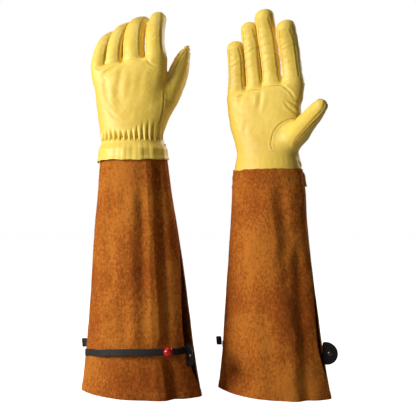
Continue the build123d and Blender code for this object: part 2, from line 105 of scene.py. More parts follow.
def waves(points, wavelength, seed, count=9):
    """Smooth noise about -1 to 1, as a sum of seeded plane waves."""
    rng = np.random.default_rng(seed)
    total = np.zeros(points.shape[:-1])
    for _ in range(count):
        direction = unit(rng.normal(size=3))
        number = 2 * np.pi / (wavelength * rng.uniform(0.7, 1.5))
        total += np.sin(points @ direction * number + rng.uniform(0, 2 * np.pi))
    return total / math.sqrt(count / 2) * 0.6


def smooth_line(points, count):
    """Evenly spaced points on a smooth line through a few given ones."""
    p = np.array(points, float)
    p = np.vstack([2 * p[0] - p[1], p, 2 * p[-1] - p[-2]])
    pieces = []
    t = np.linspace(0, 1, 24, endpoint=False)[:, None]
    for a, b, c, d in zip(p[:-3], p[1:-2], p[2:-1], p[3:]):
        curved = (2 * a - 5 * b + 4 * c - d) * t**2 + (3 * b - a - 3 * c + d) * t**3
        pieces.append(0.5 * (2 * b + (c - a) * t + curved))
    line = np.vstack(pieces + [p[-2:-1]])
    length = np.concatenate([[0], np.cumsum(np.linalg.norm(np.diff(line, axis=0), axis=1))])
    want = np.linspace(0, length[-1], count)
    return np.stack([np.interp(want, length, line[:, k]) for k in range(line.shape[1])], -1)


# ---------------------------------------------------------------- the two gloves


class Finger:
    """A finger's curved centre line, from inside the hand to the middle of its tip."""

    def __init__(self, name, palm, across, fan, curl, drift, width):
        slope, angle = KNUCKLE_SLOPE, math.radians(fan) - KNUCKLE_SLOPE
        self.name, self.width = name, width
        self.taper = 0.14 if curl > STRAIGHT_CURL else 0.05
        self.base = np.array(
            [-LEAN * KNUCKLES + across * math.cos(slope), 0, KNUCKLES + across * math.sin(slope)]
        )
        self.up = np.array([math.sin(angle), 0, math.cos(angle)])
        self.side = np.array([math.cos(angle), 0, -math.sin(angle)])
        turn = math.radians(drift)
        self.inward = np.array([0, palm * math.cos(turn), 0]) + self.side * math.sin(turn)
        self.radius = FINGER_RADII[name]
        self.run = FINGER_LENGTHS[name] - self.radius * 0.86
        self.bend = self.run / math.radians(curl)

    def at(self, s):
        """Point, tangent and palmward direction at a distance along the finger."""
        s = np.asarray(s, float)[..., None]
        turn = np.maximum(s, 0) / self.bend
        reach = np.minimum(s, 0)
        point = (
            self.base
            + (self.bend * np.sin(turn) + reach) * self.up
            + self.bend * (1 - np.cos(turn)) * self.inward
        )
        tangent = np.cos(turn) * self.up + np.sin(turn) * self.inward
        inward = np.cos(turn) * self.inward - np.sin(turn) * self.up
        return point, tangent, inward

    def thickness(self, s):
        share = np.clip(s / self.run, 0, 1)
        waist = 0.04 * bell(share - 0.45, 0.2)
        flare = 0.12 * smooth_step(14, -4, s)
        return self.radius * (1 - self.taper * smooth_step(0.45, 1.0, share) - waist + flare)

    def narrowed(self, p):
        """Points drawn towards the finger's middle plane, which makes a wide finger round."""
        across = (p - self.base) @ self.side
        return p + np.outer(across * (1 / self.width - 1), self.side)

    def chain(self):
        s = np.concatenate([[-20.0], np.linspace(-4, self.run, 11)])
        radii = self.thickness(s)
        radii[0] *= 0.8
        return self.at(s)[0], radii


class Glove:
    """Where a glove stands, taken from its wrist joint, and how its hand is posed."""

    def __init__(self, side, palm, stations, fingers, thumb, spread, slit, seed):
        joint = JOINTS[f"{side}_wrist_bend"]
        axis = np.array(joint["axis"])
        self.side, self.palm, self.seed = side, palm, seed
        self.spread, self.slit = spread, slit
        self.origin = np.array(joint["pos_m"])
        self.across = -palm * axis
        self.rear = np.array([-self.across[1], self.across[0], 0])
        self.wrist = self.origin[2] / MM
        self.stations = np.array(stations, float)
        self.fingers = [Finger(name, palm, *pose) for name, pose in fingers.items()]
        self.thumb = np.array(thumb, float)

    @property
    def back(self):
        return -self.palm

    def world(self, p):
        """From the glove's frame to the model's, in metres."""
        p = np.asarray(p, float) * MM
        up = np.array([0, 0, 1.0])
        return (
            self.origin + p[..., :1] * self.across + p[..., 1:2] * self.rear + p[..., 2:3] * up
        )

    def local(self, p):
        d = (np.asarray(p, float) - self.origin) / MM
        return np.stack([d @ self.across, d @ self.rear, d[..., 2]], -1)

    def section(self, h):
        """Centre, half width, half depth and squareness of the hand's section."""
        rows = self.stations
        return [np.interp(h, rows[:, 0], rows[:, k]) for k in (1, 2, 3, 4)]


# height above the wrist, centre, half width, half depth, squareness
LEFT_STATIONS = [
    (-30, 0.8, 46.2, 29.6, 2.0),
    (-14, 0.4, 44.6, 28.0, 2.0),
    (0, -0.8, 41.8, 24.4, 2.05),
    (10, -1.6, 43.0, 23.8, 2.1),
    (20, -2.2, 44.6, 23.4, 2.2),
    (41, -3.0, 46.2, 21.6, 2.4),
    (60, -3.8, 48.0, 19.2, 2.6),
    (85, -4.9, 49.8, 16.6, 2.7),
    (103, -5.8, 50.6, 14.4, 2.7),
    (116, -6.0, 50.8, 13.6, 2.7),
]
RIGHT_STATIONS = [
    (-30, 0.8, 48.6, 30.6, 2.0),
    (-14, 0.4, 47.4, 29.6, 2.0),
    (0, 0.0, 44.6, 27.0, 2.05),
    (8, -0.2, 42.6, 25.2, 2.1),
    (16, -0.4, 41.6, 24.2, 2.15),
    (32, -2.0, 44.0, 22.6, 2.3),
    (48, -3.4, 47.4, 20.6, 2.5),
    (67, -4.6, 50.0, 18.4, 2.6),
    (89, -5.4, 50.8, 16.2, 2.7),
    (103, -5.8, 50.8, 14.4, 2.7),
    (116, -6.0, 50.8, 13.6, 2.7),
]

LEFT = Glove(
    "left",
    1,
    LEFT_STATIONS,
    {
        "index": (35.4, 2.5, 55.0, 0.0, 1.14),
        "middle": (5.4, 2.4, 77.0, 0.0, 1.32),
        "ring": (-22.8, 5.5, 72.0, 10.0, 1.18),
        "little": (-43.4, 7.0, 66.0, 13.0, 1.12),
    },
    [
        (24, 1, 14, 13.0),
        (30, 2, 24, 15.0),
        (37, 4, 38, 15.2),
        (45, 8, 53, 14.6),
        (50.5, 13, 66, 13.8),
        (54.5, 18.5, 79, 13.4),
        (57.5, 21, 92, 12.8),
        (61.5, 21, 104, 11.0),
        (66, 20, 114, 8.0),
        (69.5, 19, 121.5, 4.6),
    ],
    spread=(2.2, 2.2),
    slit=(14.0, 1.2),
    seed=3,
)
RIGHT = Glove(
    "right",
    -1,
    RIGHT_STATIONS,
    {
        "index": (38.3, 3.5, 24.0, 0.0, 1.22),
        "middle": (11.5, 2.8, 18.0, 0.0, 1.25),
        "ring": (-13.4, 4.2, 13.0, 0.0, 1.28),
        "little": (-38.6, 7.0, 12.0, 0.0, 1.34),
    },
    [
        (26, -6, 27, 14.5),
        (36, -9, 32, 15.5),
        (46, -15, 39, 15.0),
        (57, -25, 47.5, 13.2),
        (68, -35, 55.5, 11.4),
        (77, -44, 62.5, 9.8),
        (82.5, -49, 66.5, 8.2),
    ],
    spread=(-1.0, -5.0),
    slit=(1.2, 9.0),
    seed=8,
)
GLOVES = (LEFT, RIGHT)


# ---------------------------------------------------------------- the hand as a field


def capsule_chain(points, line, radii):
    """Distance to a chain of round cones."""
    best = np.full(len(points), 1e9)
    for a, b, ra, rb in zip(line[:-1], line[1:], radii[:-1], radii[1:]):
        d = b - a
        t = np.clip((points - a) @ d / (d @ d), 0, 1)
        gap = np.linalg.norm(points - a - t[:, None] * d, axis=1) - (ra + t * (rb - ra))
        best = np.minimum(best, gap)
    return best


def palm_distance(glove, p):
    """Distance to the hand without its fingers, closed off along the knuckles."""
    centre, a, b, n = glove.section(p[:, 2])
    x, y = np.abs(p[:, 0] - centre) / a, np.abs(p[:, 1]) / b
    q = np.maximum((x**n + y**n) ** (1 / n), 1e-6)
    slope = q ** (1 - n) * np.hypot(x ** (n - 1) / a, y ** (n - 1) / b)
    wall = (q - 1) / np.maximum(slope, 1 / 60)
    knuckle = (p[:, 2] - KNUCKLES + 1) * math.cos(KNUCKLE_SLOPE) - (
        p[:, 0] + LEAN * KNUCKLES
    ) * math.sin(KNUCKLE_SLOPE)
    return soft_max(wall, knuckle, 8.0)


def soft_min(a, b, k):
    blend = np.clip(0.5 + 0.5 * (b - a) / k, 0, 1)
    return b + (a - b) * blend - k * blend * (1 - blend)


def soft_max(a, b, k):
    return -soft_min(-a, -b, k)


def finger_distances(glove, p):
    return np.array([capsule_chain(f.narrowed(p), *f.chain()) for f in glove.fingers])


def thumb_distance(glove, p):
    return capsule_chain(p, glove.thumb[:, :3], glove.thumb[:, 3])


def hand_distance(glove, p):
    distances = finger_distances(glove, p)
    nearest = np.sort(distances, axis=0)
    beside = (FINGER_GAP - (nearest[1] - nearest[0])) / 2
    rise = (p[:, 2] - KNUCKLES) - (p[:, 0] + LEAN * KNUCKLES) * math.sin(KNUCKLE_SLOPE)
    fingers = np.maximum(nearest[0], beside - 12 * smooth_step(7, 1, rise))
    hand = soft_min(palm_distance(glove, p), fingers, 4.0)
    return soft_min(hand, thumb_distance(glove, p), 9.0)


def surface_net(field, origin, step):
    """Vertices and quads over the zero level of a sampled field."""
    inside = field < 0
    size = np.array(field.shape) - 1
    count = np.zeros(size, int)
    for c in product((0, 1), repeat=3):
        count += inside[c[0] : c[0] + size[0], c[1] : c[1] + size[1], c[2] : c[2] + size[2]]
    active = (count > 0) & (count < 8)
    cells = np.argwhere(active)
    index = np.full(active.shape, -1)
    index[active] = np.arange(len(cells))
    total, crossings = np.zeros((len(cells), 3)), np.zeros(len(cells))
    for c in product((0, 1), repeat=3):
        for axis in range(3):
            if c[axis]:
                continue
            d = np.array(c)
            d[axis] = 1
            near = field[tuple((cells + c).T)]
            far = field[tuple((cells + d).T)]
            crossed = (near < 0) != (far < 0)
            t = np.where(crossed, near / np.where(crossed, near - far, 1), 0)
            total += np.where(crossed[:, None], np.array(c) + t[:, None] * (d - np.array(c)), 0)
            crossings += crossed
    verts = origin + step * (cells + total / crossings[:, None])
    quads = []
    for axis in range(3):
        others = [k for k in range(3) if k != axis]
        low = np.take(inside, range(inside.shape[axis] - 1), axis)
        high = np.take(inside, range(1, inside.shape[axis]), axis)
        points = np.argwhere(low != high)
        points = points[(points[:, others[0]] > 0) & (points[:, others[1]] > 0)]
        points = points[(points[:, others] < size[others]).all(1)]
        e, f = np.eye(3, dtype=int)[others]
        ring = np.stack([index[tuple((points - k).T)] for k in (0 * e, e, e + f, f)], -1)
        flip = inside[tuple(points.T)] != (axis == 1)
        ring[flip] = ring[flip][:, ::-1]
        quads.append(ring)
    quads = np.vstack(quads)
    return verts, quads[(quads >= 0).all(1)]


def relax(verts, quads, rounds):
    """Even out a surface net without shrinking it."""
    edges = np.vstack([quads[:, [k, (k + 1) % 4]] for k in range(4)])
    ends, starts = np.concatenate([edges, edges[:, ::-1]]).T
    degree = np.bincount(ends, minlength=len(verts))[:, None]
    for _ in range(rounds):
        for weight in (0.5, -0.52):
            mean = np.stack(
                [np.bincount(ends, verts[starts, k], len(verts)) for k in range(3)], -1
            )
            verts = verts + weight * (mean / degree - verts)
    return verts


def vertex_normals(verts, faces):
    a, b, c, d = (verts[faces[:, k]] for k in range(4))
    normal = np.cross(c - a, d - b)
    total = np.zeros_like(verts)
    for k in range(4):
        for axis in range(3):
            total[:, axis] += np.bincount(faces[:, k], normal[:, axis], len(verts))
    return unit(total)


def hand_net(glove):
    low = np.array([-78.0, -36.0, 6.0])
    high = np.array([100.0, 72.0, 212.0])
    if glove.palm < 0:
        low[1], high[1] = -high[1], -low[1]
    axes = [np.arange(low[k], high[k], VOXEL) for k in range(3)]
    shape = [len(axis) for axis in axes]
    points = np.stack(np.meshgrid(*axes, indexing="ij"), -1).reshape(-1, 3)
    field = np.full(len(points), 50.0)
    for part in np.array_split(np.arange(len(points)), 12):
        field[part] = hand_distance(glove, points[part])
    verts, quads = surface_net(field.reshape(shape), low, VOXEL)
    verts = relax(verts, quads, 3)
    return verts, quads


def on_hand(glove, points):
    """Move points onto the hand's surface along the field's slope."""
    points = np.array(points, float)
    step = 0.4
    for _ in range(3):
        here = hand_distance(glove, points)
        slope = np.stack(
            [
                hand_distance(glove, points + step * axis) - hand_distance(glove, points - step * axis)
                for axis in np.eye(3)
            ],
            -1,
        )
        slope /= 2 * step
        steep = np.maximum((slope**2).sum(1), 0.3)
        points = points - (here / steep)[:, None] * slope
    return points, unit(slope)


# ---------------------------------------------------------------- folds and gathers


def turn_angle(glove, p):
    centre, a, b, _ = glove.section(p[..., 2])
    return np.arctan2(p[..., 1] / b, (p[..., 0] - centre) / a)


def gather(glove, p):
    """Height of the gathers round the wrist, drawn in along the elastic's line."""
    angle = turn_angle(glove, p)
    h = p[..., 2]
    phase = GATHERS * (angle - 0.134 * np.sin(2 * angle)) + 0.9 * np.sin(3 * angle + glove.seed)
    ripple = 2 * np.abs(np.cos(phase / 2)) ** 0.8 - 1.1
    reach = 19 + 6 * np.sin(2.3 * angle + glove.seed) + 4 * np.sin(5.1 * angle)
    tooth = h + 2.2 * np.cos(phase)
    upper = smooth_step(reach, 1.0, h) ** 1.3
    lower = 0.1 + 0.9 * smooth_step(-4.5, -1.5, tooth)
    envelope = np.where(h > 0, upper, 1.0) * lower
    at_back = smooth_step(-0.35, 0.35, glove.back * np.sin(angle))
    amount = 0.04 + 0.96 * at_back
    groove = -1.1 * bell(tooth + 2.0, 2.2) * at_back
    return 1.7 * amount * envelope * ripple + groove


def crease_height(p, lines):
    """Grooves with soft banks along lines drawn on the front or rear of the hand."""
    total = np.zeros(len(p))
    for face, width, depth, points in lines:
        line = smooth_line(points, 40)
        near = face * p[:, 1] > 0
        flat = p[near][:, [0, 2]]
        gap = np.linalg.norm(flat[:, None] - line[None], axis=2)
        close = gap.min(1)
        along = gap.argmin(1) / 39
        fade = np.sin(np.pi * np.clip(along, 0.04, 0.96)) ** 0.6
        groove = -bell(close, width) + 0.55 * bell(close - 1.9 * width, width)
        total[near] += depth * fade * groove
    return total


# face, width, depth and the points (x, h) of each crease
CREASES = {
    "left": [
        (-1, 1.4, 0.9, [(-47.5, 94.4), (-37.8, 92.4), (-28.3, 98), (-15.5, 102)]),
        (-1, 1.4, 0.9, [(-9.2, 101.7), (-1.3, 105), (8.1, 103.8), (20.6, 101)]),
        (-1, 2.6, 0.9, [(-37, 84.4), (-29, 88.6), (-14.8, 94)]),
        (-1, 1.3, 0.8, [(51.7, 67.7), (57.9, 70.5), (62.5, 76.3)]),
        (-1, 1.3, 0.8, [(46, 50.2), (54.8, 48), (59.4, 48.6)]),
        (-1, 1.5, 0.7, [(22, 105), (29, 96), (38, 92)]),
        (-1, 4.5, 0.7, [(-8, 96), (-12, 80), (-14, 62), (-10, 40)]),
        (-1, 4.0, 0.5, [(-32, 82), (-33, 70), (-30, 50)]),
        (-1, 3.4, 0.4, [(20, 92), (15, 70), (13, 50)]),
        (-1, 2.2, 0.35, [(-44, 44), (-30, 38), (-18, 28), (-10, 22)]),
        (1, 2.2, 1.1, [(44, 84), (20, 76), (-6, 80), (-40, 92)]),
        (1, 2.4, 1.1, [(34, 60), (14, 50), (4, 34), (2, 20)]),
        (1, 2.0, 0.8, [(-44, 66), (-20, 60), (4, 66)]),
    ],
    "right": [
        (-1, 1.5, 0.8, [(-52, 92), (-42, 89), (-28, 93)]),
        (-1, 1.4, 0.9, [(22, 103.3), (28, 99), (32.7, 94.8)]),
        (-1, 1.4, 0.9, [(27.4, 99), (33.5, 94), (39.6, 85)]),
        (-1, 1.5, 0.9, [(42, 65), (39.6, 67.3), (32, 73.6), (27.4, 79.8)]),
        (-1, 1.3, 0.7, [(45, 74), (38, 78), (31, 82)]),
        (-1, 3.2, 0.9, [(-37, 82), (-32, 89.6), (-24, 96.6)]),
        (-1, 3.2, 0.9, [(-8.3, 71.5), (-6, 80.4), (-5, 95.4)]),
        (-1, 2.6, 0.3, [(-50, 74), (-30, 69), (-8, 72)]),
        (-1, 2.4, 0.2, [(-46, 54), (-28, 50), (-12, 56)]),
        (-1, 3.4, 0.4, [(-22, 60), (-26, 40), (-24, 22)]),
        (1, 2.0, 0.7, [(-44, 90), (-20, 86), (10, 92), (40, 94)]),
        (1, 3.6, 0.7, [(-18, 96), (-14, 70), (-12, 44)]),
        (1, 3.2, 0.6, [(14, 94), (14, 66), (10, 44)]),
    ],
}


def finger_folds(glove, p, finger):
    """Small folds across a finger, deepest on its palm side where it bends."""
    samples = np.linspace(-6, finger.run, 90)
    line, _, inward = finger.at(samples)
    nearest = np.linalg.norm(p[:, None] - line[None], axis=2).argmin(1)
    s = samples[nearest]
    outward = unit(p - line[nearest])
    toward_palm = (outward * inward[nearest]).sum(1)
    across = outward @ finger.side
    rng = np.random.default_rng(glove.seed * 10 + int(finger.radius * 10))
    total = np.zeros(len(p))
    bend = 1.0 if finger.bend < 150 else 0.45
    for share in (0.04, 0.2, 0.36, 0.44, 0.62, 0.7, 0.84):
        where = finger.run * (share + rng.uniform(-0.03, 0.03))
        tilt = rng.uniform(-3, 3)
        gap = s - where - tilt * across - 1.5 * np.sin(3 * across + share * 20)
        depth = rng.uniform(0.35, 0.8) * bend
        palm_side = smooth_step(-0.35, 0.6, toward_palm)
        total += depth * palm_side * (-bell(gap, 1.5) + 0.5 * bell(gap - 3.2, 1.6))
    for share in (0.3, 0.38, 0.64):
        where = finger.run * (share + rng.uniform(-0.02, 0.02))
        gap = s - where - 2.5 * across**2
        back_side = smooth_step(0.1, 0.9, -toward_palm)
        total += 0.22 * back_side * (-bell(gap, 1.3) + 0.4 * bell(gap - 2.6, 1.4))
    return total * smooth_step(-6, 6, s)


def seam_lips(p, paths):
    """Soft ridges beside each seam, with the seam itself sunk between them."""
    total = np.zeros(len(p))
    for path in paths:
        near = np.full(len(p), 99.0)
        low, high = path.min(0) - 5, path.max(0) + 5
        inside = ((p > low) & (p < high)).all(1)
        if inside.any():
            gap = np.linalg.norm(p[inside][:, None] - path[None], axis=2)
            near[inside] = gap.min(1)
        total += 0.45 * bell(near - 1.9, 1.1) - 0.35 * bell(near, 0.9)
    return total


# ---------------------------------------------------------------- meshes


def make_object(name, verts, faces, material, edge=None, edge_faces=None):
    mesh = bpy.data.meshes.new(name)
    mesh.from_pydata(np.asarray(verts).tolist(), [], [list(map(int, f)) for f in faces])
    mesh.materials.append(material)
    if edge is not None:
        mesh.materials.append(edge)
        marks = np.zeros(len(mesh.polygons), np.int32)
        marks[edge_faces] = 1
        mesh.polygons.foreach_set("material_index", marks)
    mesh.polygons.foreach_set("use_smooth", np.full(len(mesh.polygons), True))
    mesh.update()
    obj = bpy.data.objects.new(name, mesh)
    bpy.context.scene.collection.objects.link(obj)
    return obj


def grid_quads(rows, cols, start=0, wrap=False):
    last = cols if wrap else cols - 1
    i, j = np.meshgrid(np.arange(rows - 1), np.arange(last), indexing="ij")
    k = (j + 1) % cols
    quads = np.stack([i * cols + j, i * cols + k, (i + 1) * cols + k, (i + 1) * cols + j], -1)
    return start + quads.reshape(-1, 4)


def closed_tube(rows, cols):
    """Faces of a tube with flat ends, from rings of points one after another."""
    faces = grid_quads(rows, cols, wrap=True).tolist()
    faces.append(list(range(cols))[::-1])
    faces.append([(rows - 1) * cols + k for k in range(cols)])
    return faces


def shell(name, outer, inner, glove, material, edge, flip):
    """A sheet with thickness, closed along its four sides."""
    rows, cols = outer.shape[:2]
    count = rows * cols
    top = grid_quads(rows, cols)
    under = grid_quads(rows, cols, count)[:, ::-1]
    rim = np.concatenate(
        [
            np.arange(cols),
            np.arange(1, rows) * cols + cols - 1,
            (rows - 1) * cols + np.arange(cols - 2, -1, -1),
            np.arange(rows - 2, 0, -1) * cols,
        ]
    )
    after = np.roll(rim, -1)
    sides = np.stack([after, rim, rim + count, after + count], -1)
    faces = np.vstack([top, under, sides])
    if flip:
        faces = faces[:, ::-1]
    verts = glove.world(np.vstack([outer.reshape(-1, 3), inner.reshape(-1, 3)]))
    edge_faces = np.arange(len(top) + len(under), len(faces))
    obj = make_object(name, verts, faces, material, edge, edge_faces)
    obj.data.set_sharp_from_angle(angle=math.radians(50))
    return obj


def tube(path, normals, radius, sides=6, flatten=1.0):
    """Vertices and quads of a thin tube with tapered ends along a path."""
    path = np.asarray(path, float)
    tangent = unit(np.gradient(path, axis=0))
    side = unit(np.cross(tangent, normals))
    up = np.cross(side, tangent)
    angles = np.linspace(0, 2 * np.pi, sides, endpoint=False)
    taper = np.ones(len(path))
    taper[[0, -1]] = 0.25
    ring = np.cos(angles)[None, :, None] * side[:, None] + flatten * (
        np.sin(angles)[None, :, None] * up[:, None]
    )
    verts = path[:, None] + radius * taper[:, None, None] * ring
    return verts.reshape(-1, 3), closed_tube(len(path), sides)


def face_outwards(obj, weld=False):
    """Turn the faces outwards, and with weld merge the points that fall together."""
    mesh = bmesh.new()
    mesh.from_mesh(obj.data)
    if weld:
        bmesh.ops.remove_doubles(mesh, verts=mesh.verts, dist=1e-6)
    bmesh.ops.recalc_face_normals(mesh, faces=mesh.faces[:])
    mesh.to_mesh(obj.data)
    mesh.free()


def place_stiff(glove, obj, node, body):
    """A stiff piece takes a CAD node's place and rides on one body."""
    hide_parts(f"{glove.side}_{node}")
    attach(obj, f"{glove.side}_{body}")


def merge(parts):
    verts, faces, start = [], [], 0
    for v, f in parts:
        verts.append(np.asarray(v))
        faces.extend([[start + int(k) for k in face] for face in f])
        start += len(v)
    return np.vstack(verts), faces


def stitch_row(path, normals, lift):
    """Separate stitches, one after another, lying on a surface along a path."""
    path = np.asarray(path, float)
    run = np.concatenate([[0], np.cumsum(np.linalg.norm(np.diff(path, axis=0), axis=1))])
    parts = []
    start = STITCH_GAP
    while start + STITCH < run[-1]:
        s = np.linspace(start, start + STITCH, 5)
        points = np.stack([np.interp(s, run, path[:, k]) for k in range(3)], -1)
        up = unit(np.stack([np.interp(s, run, normals[:, k]) for k in range(3)], -1))
        rise = lift * np.array([-0.6, 0.6, 1.0, 0.6, -0.6])[:, None]
        parts.append(tube(points + up * rise, up, STITCH_RADIUS, 6))
        start += STITCH + STITCH_GAP
    return merge(parts)


# ---------------------------------------------------------------- materials


class Recipe:
    """Builds one node material step by step."""

    def __init__(self, name):
        self.material = bpy.data.materials.new(name)
        self.material.use_nodes = True
        self.tree = self.material.node_tree
        self.shader = self.tree.nodes["Principled BSDF"]
        self.place = self.node("ShaderNodeTexCoord").outputs["Object"]

    def node(self, kind, **values):
        node = self.tree.nodes.new(kind)
        for key, value in values.items():
            if key in node.inputs:
                node.inputs[key].default_value = value
            else:
                setattr(node, key, value)
        return node

    def link(self, a, b):
        self.tree.links.new(a, b)

    def noise(self, scale, detail=4.0, roughness=0.55, stretch=None):
        node = self.node("ShaderNodeTexNoise", Scale=scale, Detail=detail, Roughness=roughness)
        source = self.place
        if stretch:
            mapping = self.node("ShaderNodeMapping", Scale=stretch)
            self.link(source, mapping.inputs["Vector"])
            source = mapping.outputs["Vector"]
        self.link(source, node.inputs["Vector"])
        return node.outputs["Fac"]

    def cells(self, scale):
        node = self.node("ShaderNodeTexVoronoi", Scale=scale)
        self.link(self.place, node.inputs["Vector"])
        return node.outputs["Distance"]

    def ramp(self, source, stops):
        node = self.node("ShaderNodeValToRGB")
        elements = node.color_ramp.elements
        while len(elements) < len(stops):
            elements.new(0.5)
        for element, (position, colour) in zip(elements, stops):
            element.position = position
            element.color = (*colour, 1)
        self.link(source, node.inputs["Fac"])
        return node.outputs["Color"]

    def mix(self, a, b, factor, mode="MIX"):
        node = self.node("ShaderNodeMix", data_type="RGBA", blend_type=mode)
        for value, socket in ((factor, node.inputs[0]), (a, node.inputs[6]), (b, node.inputs[7])):
            if isinstance(value, bpy.types.NodeSocket):
                self.link(value, socket)
            else:
                socket.default_value = value if isinstance(value, float) else (*value, 1)
        return node.outputs[2]

    def sum(self, a, b, share):
        node = self.node("ShaderNodeMath", operation="MULTIPLY_ADD")
        self.link(b, node.inputs[0])
        node.inputs[1].default_value = share
        self.link(a, node.inputs[2])
        return node.outputs[0]

    def bump(self, height, distance, strength=1.0):
        node = self.node("ShaderNodeBump", Distance=distance, Strength=strength)
        self.link(height, node.inputs["Height"])
        self.link(node.outputs["Normal"], self.shader.inputs["Normal"])

    def finish(self, **values):
        for key, value in values.items():
            name = key.replace("_", " ")
            if isinstance(value, bpy.types.NodeSocket):
                self.link(value, self.shader.inputs[name])
            else:
                self.shader.inputs[name].default_value = value
        return self.material


def rgb(red, green, blue):
    """Linear colour from the 0 to 255 values seen on a screen."""
    seen = np.array([red, green, blue]) / 255
    return tuple(np.where(seen < 0.04045, seen / 12.92, ((seen + 0.055) / 1.055) ** 2.4).tolist())


def goatskin(name, light, main, deep):
    """Smooth chrome-tanned leather: small pebbled grain, faint blotches, soft gloss."""
    r = Recipe(name)
    patches = r.noise(14, 3, 0.5)
    fine = r.noise(260, 4, 0.6)
    colour = r.ramp(patches, [(0.25, deep), (0.55, main), (0.85, light)])
    speckle = r.ramp(fine, [(0.35, rgb(232, 214, 184)), (0.6, rgb(255, 255, 255))])
    colour = r.mix(colour, speckle, 0.2, "MULTIPLY")
    grain = r.sum(r.cells(900), r.noise(420, 5, 0.6), 0.8)
    height = r.sum(grain, r.noise(70, 3, 0.5), 1.0)
    r.bump(height, 0.0003, 0.4)
    rough = r.ramp(patches, [(0.3, (0.5, 0.5, 0.5)), (0.7, (0.42, 0.42, 0.42))])
    return r.finish(
        Base_Color=colour, Roughness=rough, Specular_IOR_Level=0.38, Coat_Weight=0.05, Coat_Roughness=0.3
    )


def suede(name, light, main, deep):
    """Split suede: a short nap that lies this way and that, with a mottled tone."""
    r = Recipe(name)
    broad = r.noise(13, 3, 0.45)
    nap = r.noise(330, 6, 0.7, stretch=(1, 1, 0.8))
    fibre = r.noise(800, 5, 0.75, stretch=(1, 1, 0.5))
    tone = r.sum(nap, broad, 0.8)
    colour = r.ramp(tone, [(0.68, deep), (0.88, main), (1.0, light)])
    dust = r.ramp(fibre, [(0.3, rgb(180, 165, 150)), (0.62, rgb(255, 255, 255))])
    colour = r.mix(colour, dust, 0.5, "MULTIPLY")
    r.bump(r.sum(r.sum(fibre, nap, 1.4), broad, 2.0), 0.0007, 0.8)
    return r.finish(
        Base_Color=colour,
        Roughness=0.92,
        Specular_IOR_Level=0.12,
        Sheen_Weight=0.08,
        Sheen_Roughness=0.5,
        Sheen_Tint=(*rgb(230, 160, 90), 1),
    )


def thread_material(name, colour, dark):
    r = Recipe(name)
    twist = r.noise(1500, 3, 0.6, stretch=(1, 1, 0.4))
    shade = r.ramp(twist, [(0.3, dark), (0.65, colour)])
    r.bump(twist, 0.0002, 0.6)
    return r.finish(Base_Color=shade, Roughness=0.7, Specular_IOR_Level=0.25)


def plain_material(name, colour, dark, rough, scale, depth, specular=0.5, metal=0.0):
    """Moulded, woven or metal surface with a fine irregular finish."""
    r = Recipe(name)
    grain = r.noise(scale, 5, 0.6)
    shade = r.ramp(grain, [(0.3, dark), (0.7, colour)])
    r.bump(grain, depth, 0.5)
    wear = r.ramp(r.noise(scale / 4, 3, 0.5), [(0.3, (rough,) * 3), (0.7, (rough * 0.75,) * 3)])
    return r.finish(
        Base_Color=shade, Roughness=wear, Specular_IOR_Level=specular, Metallic=metal
    )


LEATHER_SKIN = goatskin("goatskin", rgb(253, 223, 114), rgb(248, 213, 92), rgb(236, 195, 68))
LEATHER_EDGE = goatskin("goatskin_edge", rgb(236, 204, 120), rgb(216, 178, 88), rgb(186, 144, 60))
SEAM_SKIN = goatskin("goatskin_seam", rgb(216, 172, 74), rgb(196, 150, 56), rgb(162, 114, 38))
SUEDE_SKIN = suede("split_suede", rgb(202, 122, 42), rgb(176, 94, 28), rgb(146, 70, 19))
SUEDE_EDGE = suede("suede_cut_edge", rgb(222, 164, 94), rgb(194, 130, 66), rgb(150, 90, 42))
THREAD = thread_material("thread", rgb(196, 128, 54), rgb(144, 86, 32))
PALE_THREAD = thread_material("pale_thread", rgb(236, 200, 96), rgb(206, 164, 66))
TAPE = plain_material("elastic_tape", rgb(50, 48, 46), rgb(22, 21, 20), 0.75, 900, 0.0003, 0.3)
ELASTIC = plain_material("gather_elastic", rgb(235, 232, 224), rgb(200, 196, 186), 0.8, 800, 0.0003, 0.3)
BALL = plain_material("ball_gloss", rgb(196, 26, 18), rgb(172, 18, 14), 0.22, 180, 0.00008, 0.55)
TAB = plain_material("tab_rubber", rgb(15, 14, 13), rgb(8, 8, 7), 0.46, 500, 0.00015, 0.3)
RIVET = plain_material("rivet_metal", rgb(112, 110, 106), rgb(74, 72, 70), 0.34, 400, 0.0001, 0.5, 1.0)


# ---------------------------------------------------------------- cuff


def cuff_half(z):
    """Half width and half depth of the cuff's oval at a height above the hem."""
    z = np.asarray(z, float)
    low = HEM_HALF[0] + (FLARE_HALF_WIDTH - HEM_HALF[0]) * z / FLARE_HEIGHT
    share = (z - FLARE_HEIGHT) / (CUFF_HEIGHT - FLARE_HEIGHT)
    high = FLARE_HALF_WIDTH + (CUFF_HALF[0] - FLARE_HALF_WIDTH) * share
    depth = HEM_HALF[1] + (CUFF_HALF[1] - HEM_HALF[1]) * z / CUFF_HEIGHT
    return np.where(z < FLARE_HEIGHT, low, high), depth


def spread_out(glove, x, z):
    """Moves the cuff's two edges out or in below its upper end."""
    little, thumb = glove.spread
    low = smooth_step(278, 215, z)
    return x + low * (thumb * smooth_step(15, 72, x) - little * smooth_step(-15, -72, x))


def oval_arcs(half_width, half_depth):
    """Radii of the oval's wide and tight arcs, and how far their centres are shifted."""
    share = (1 - math.sin(WIDE_ARC)) / math.cos(WIDE_ARC)
    wide = (half_width - share * half_depth) / (1 - share)
    drop = wide - half_depth
    tight = wide - drop / math.cos(WIDE_ARC)
    return wide, tight, drop, (wide - tight) * math.sin(WIDE_ARC)


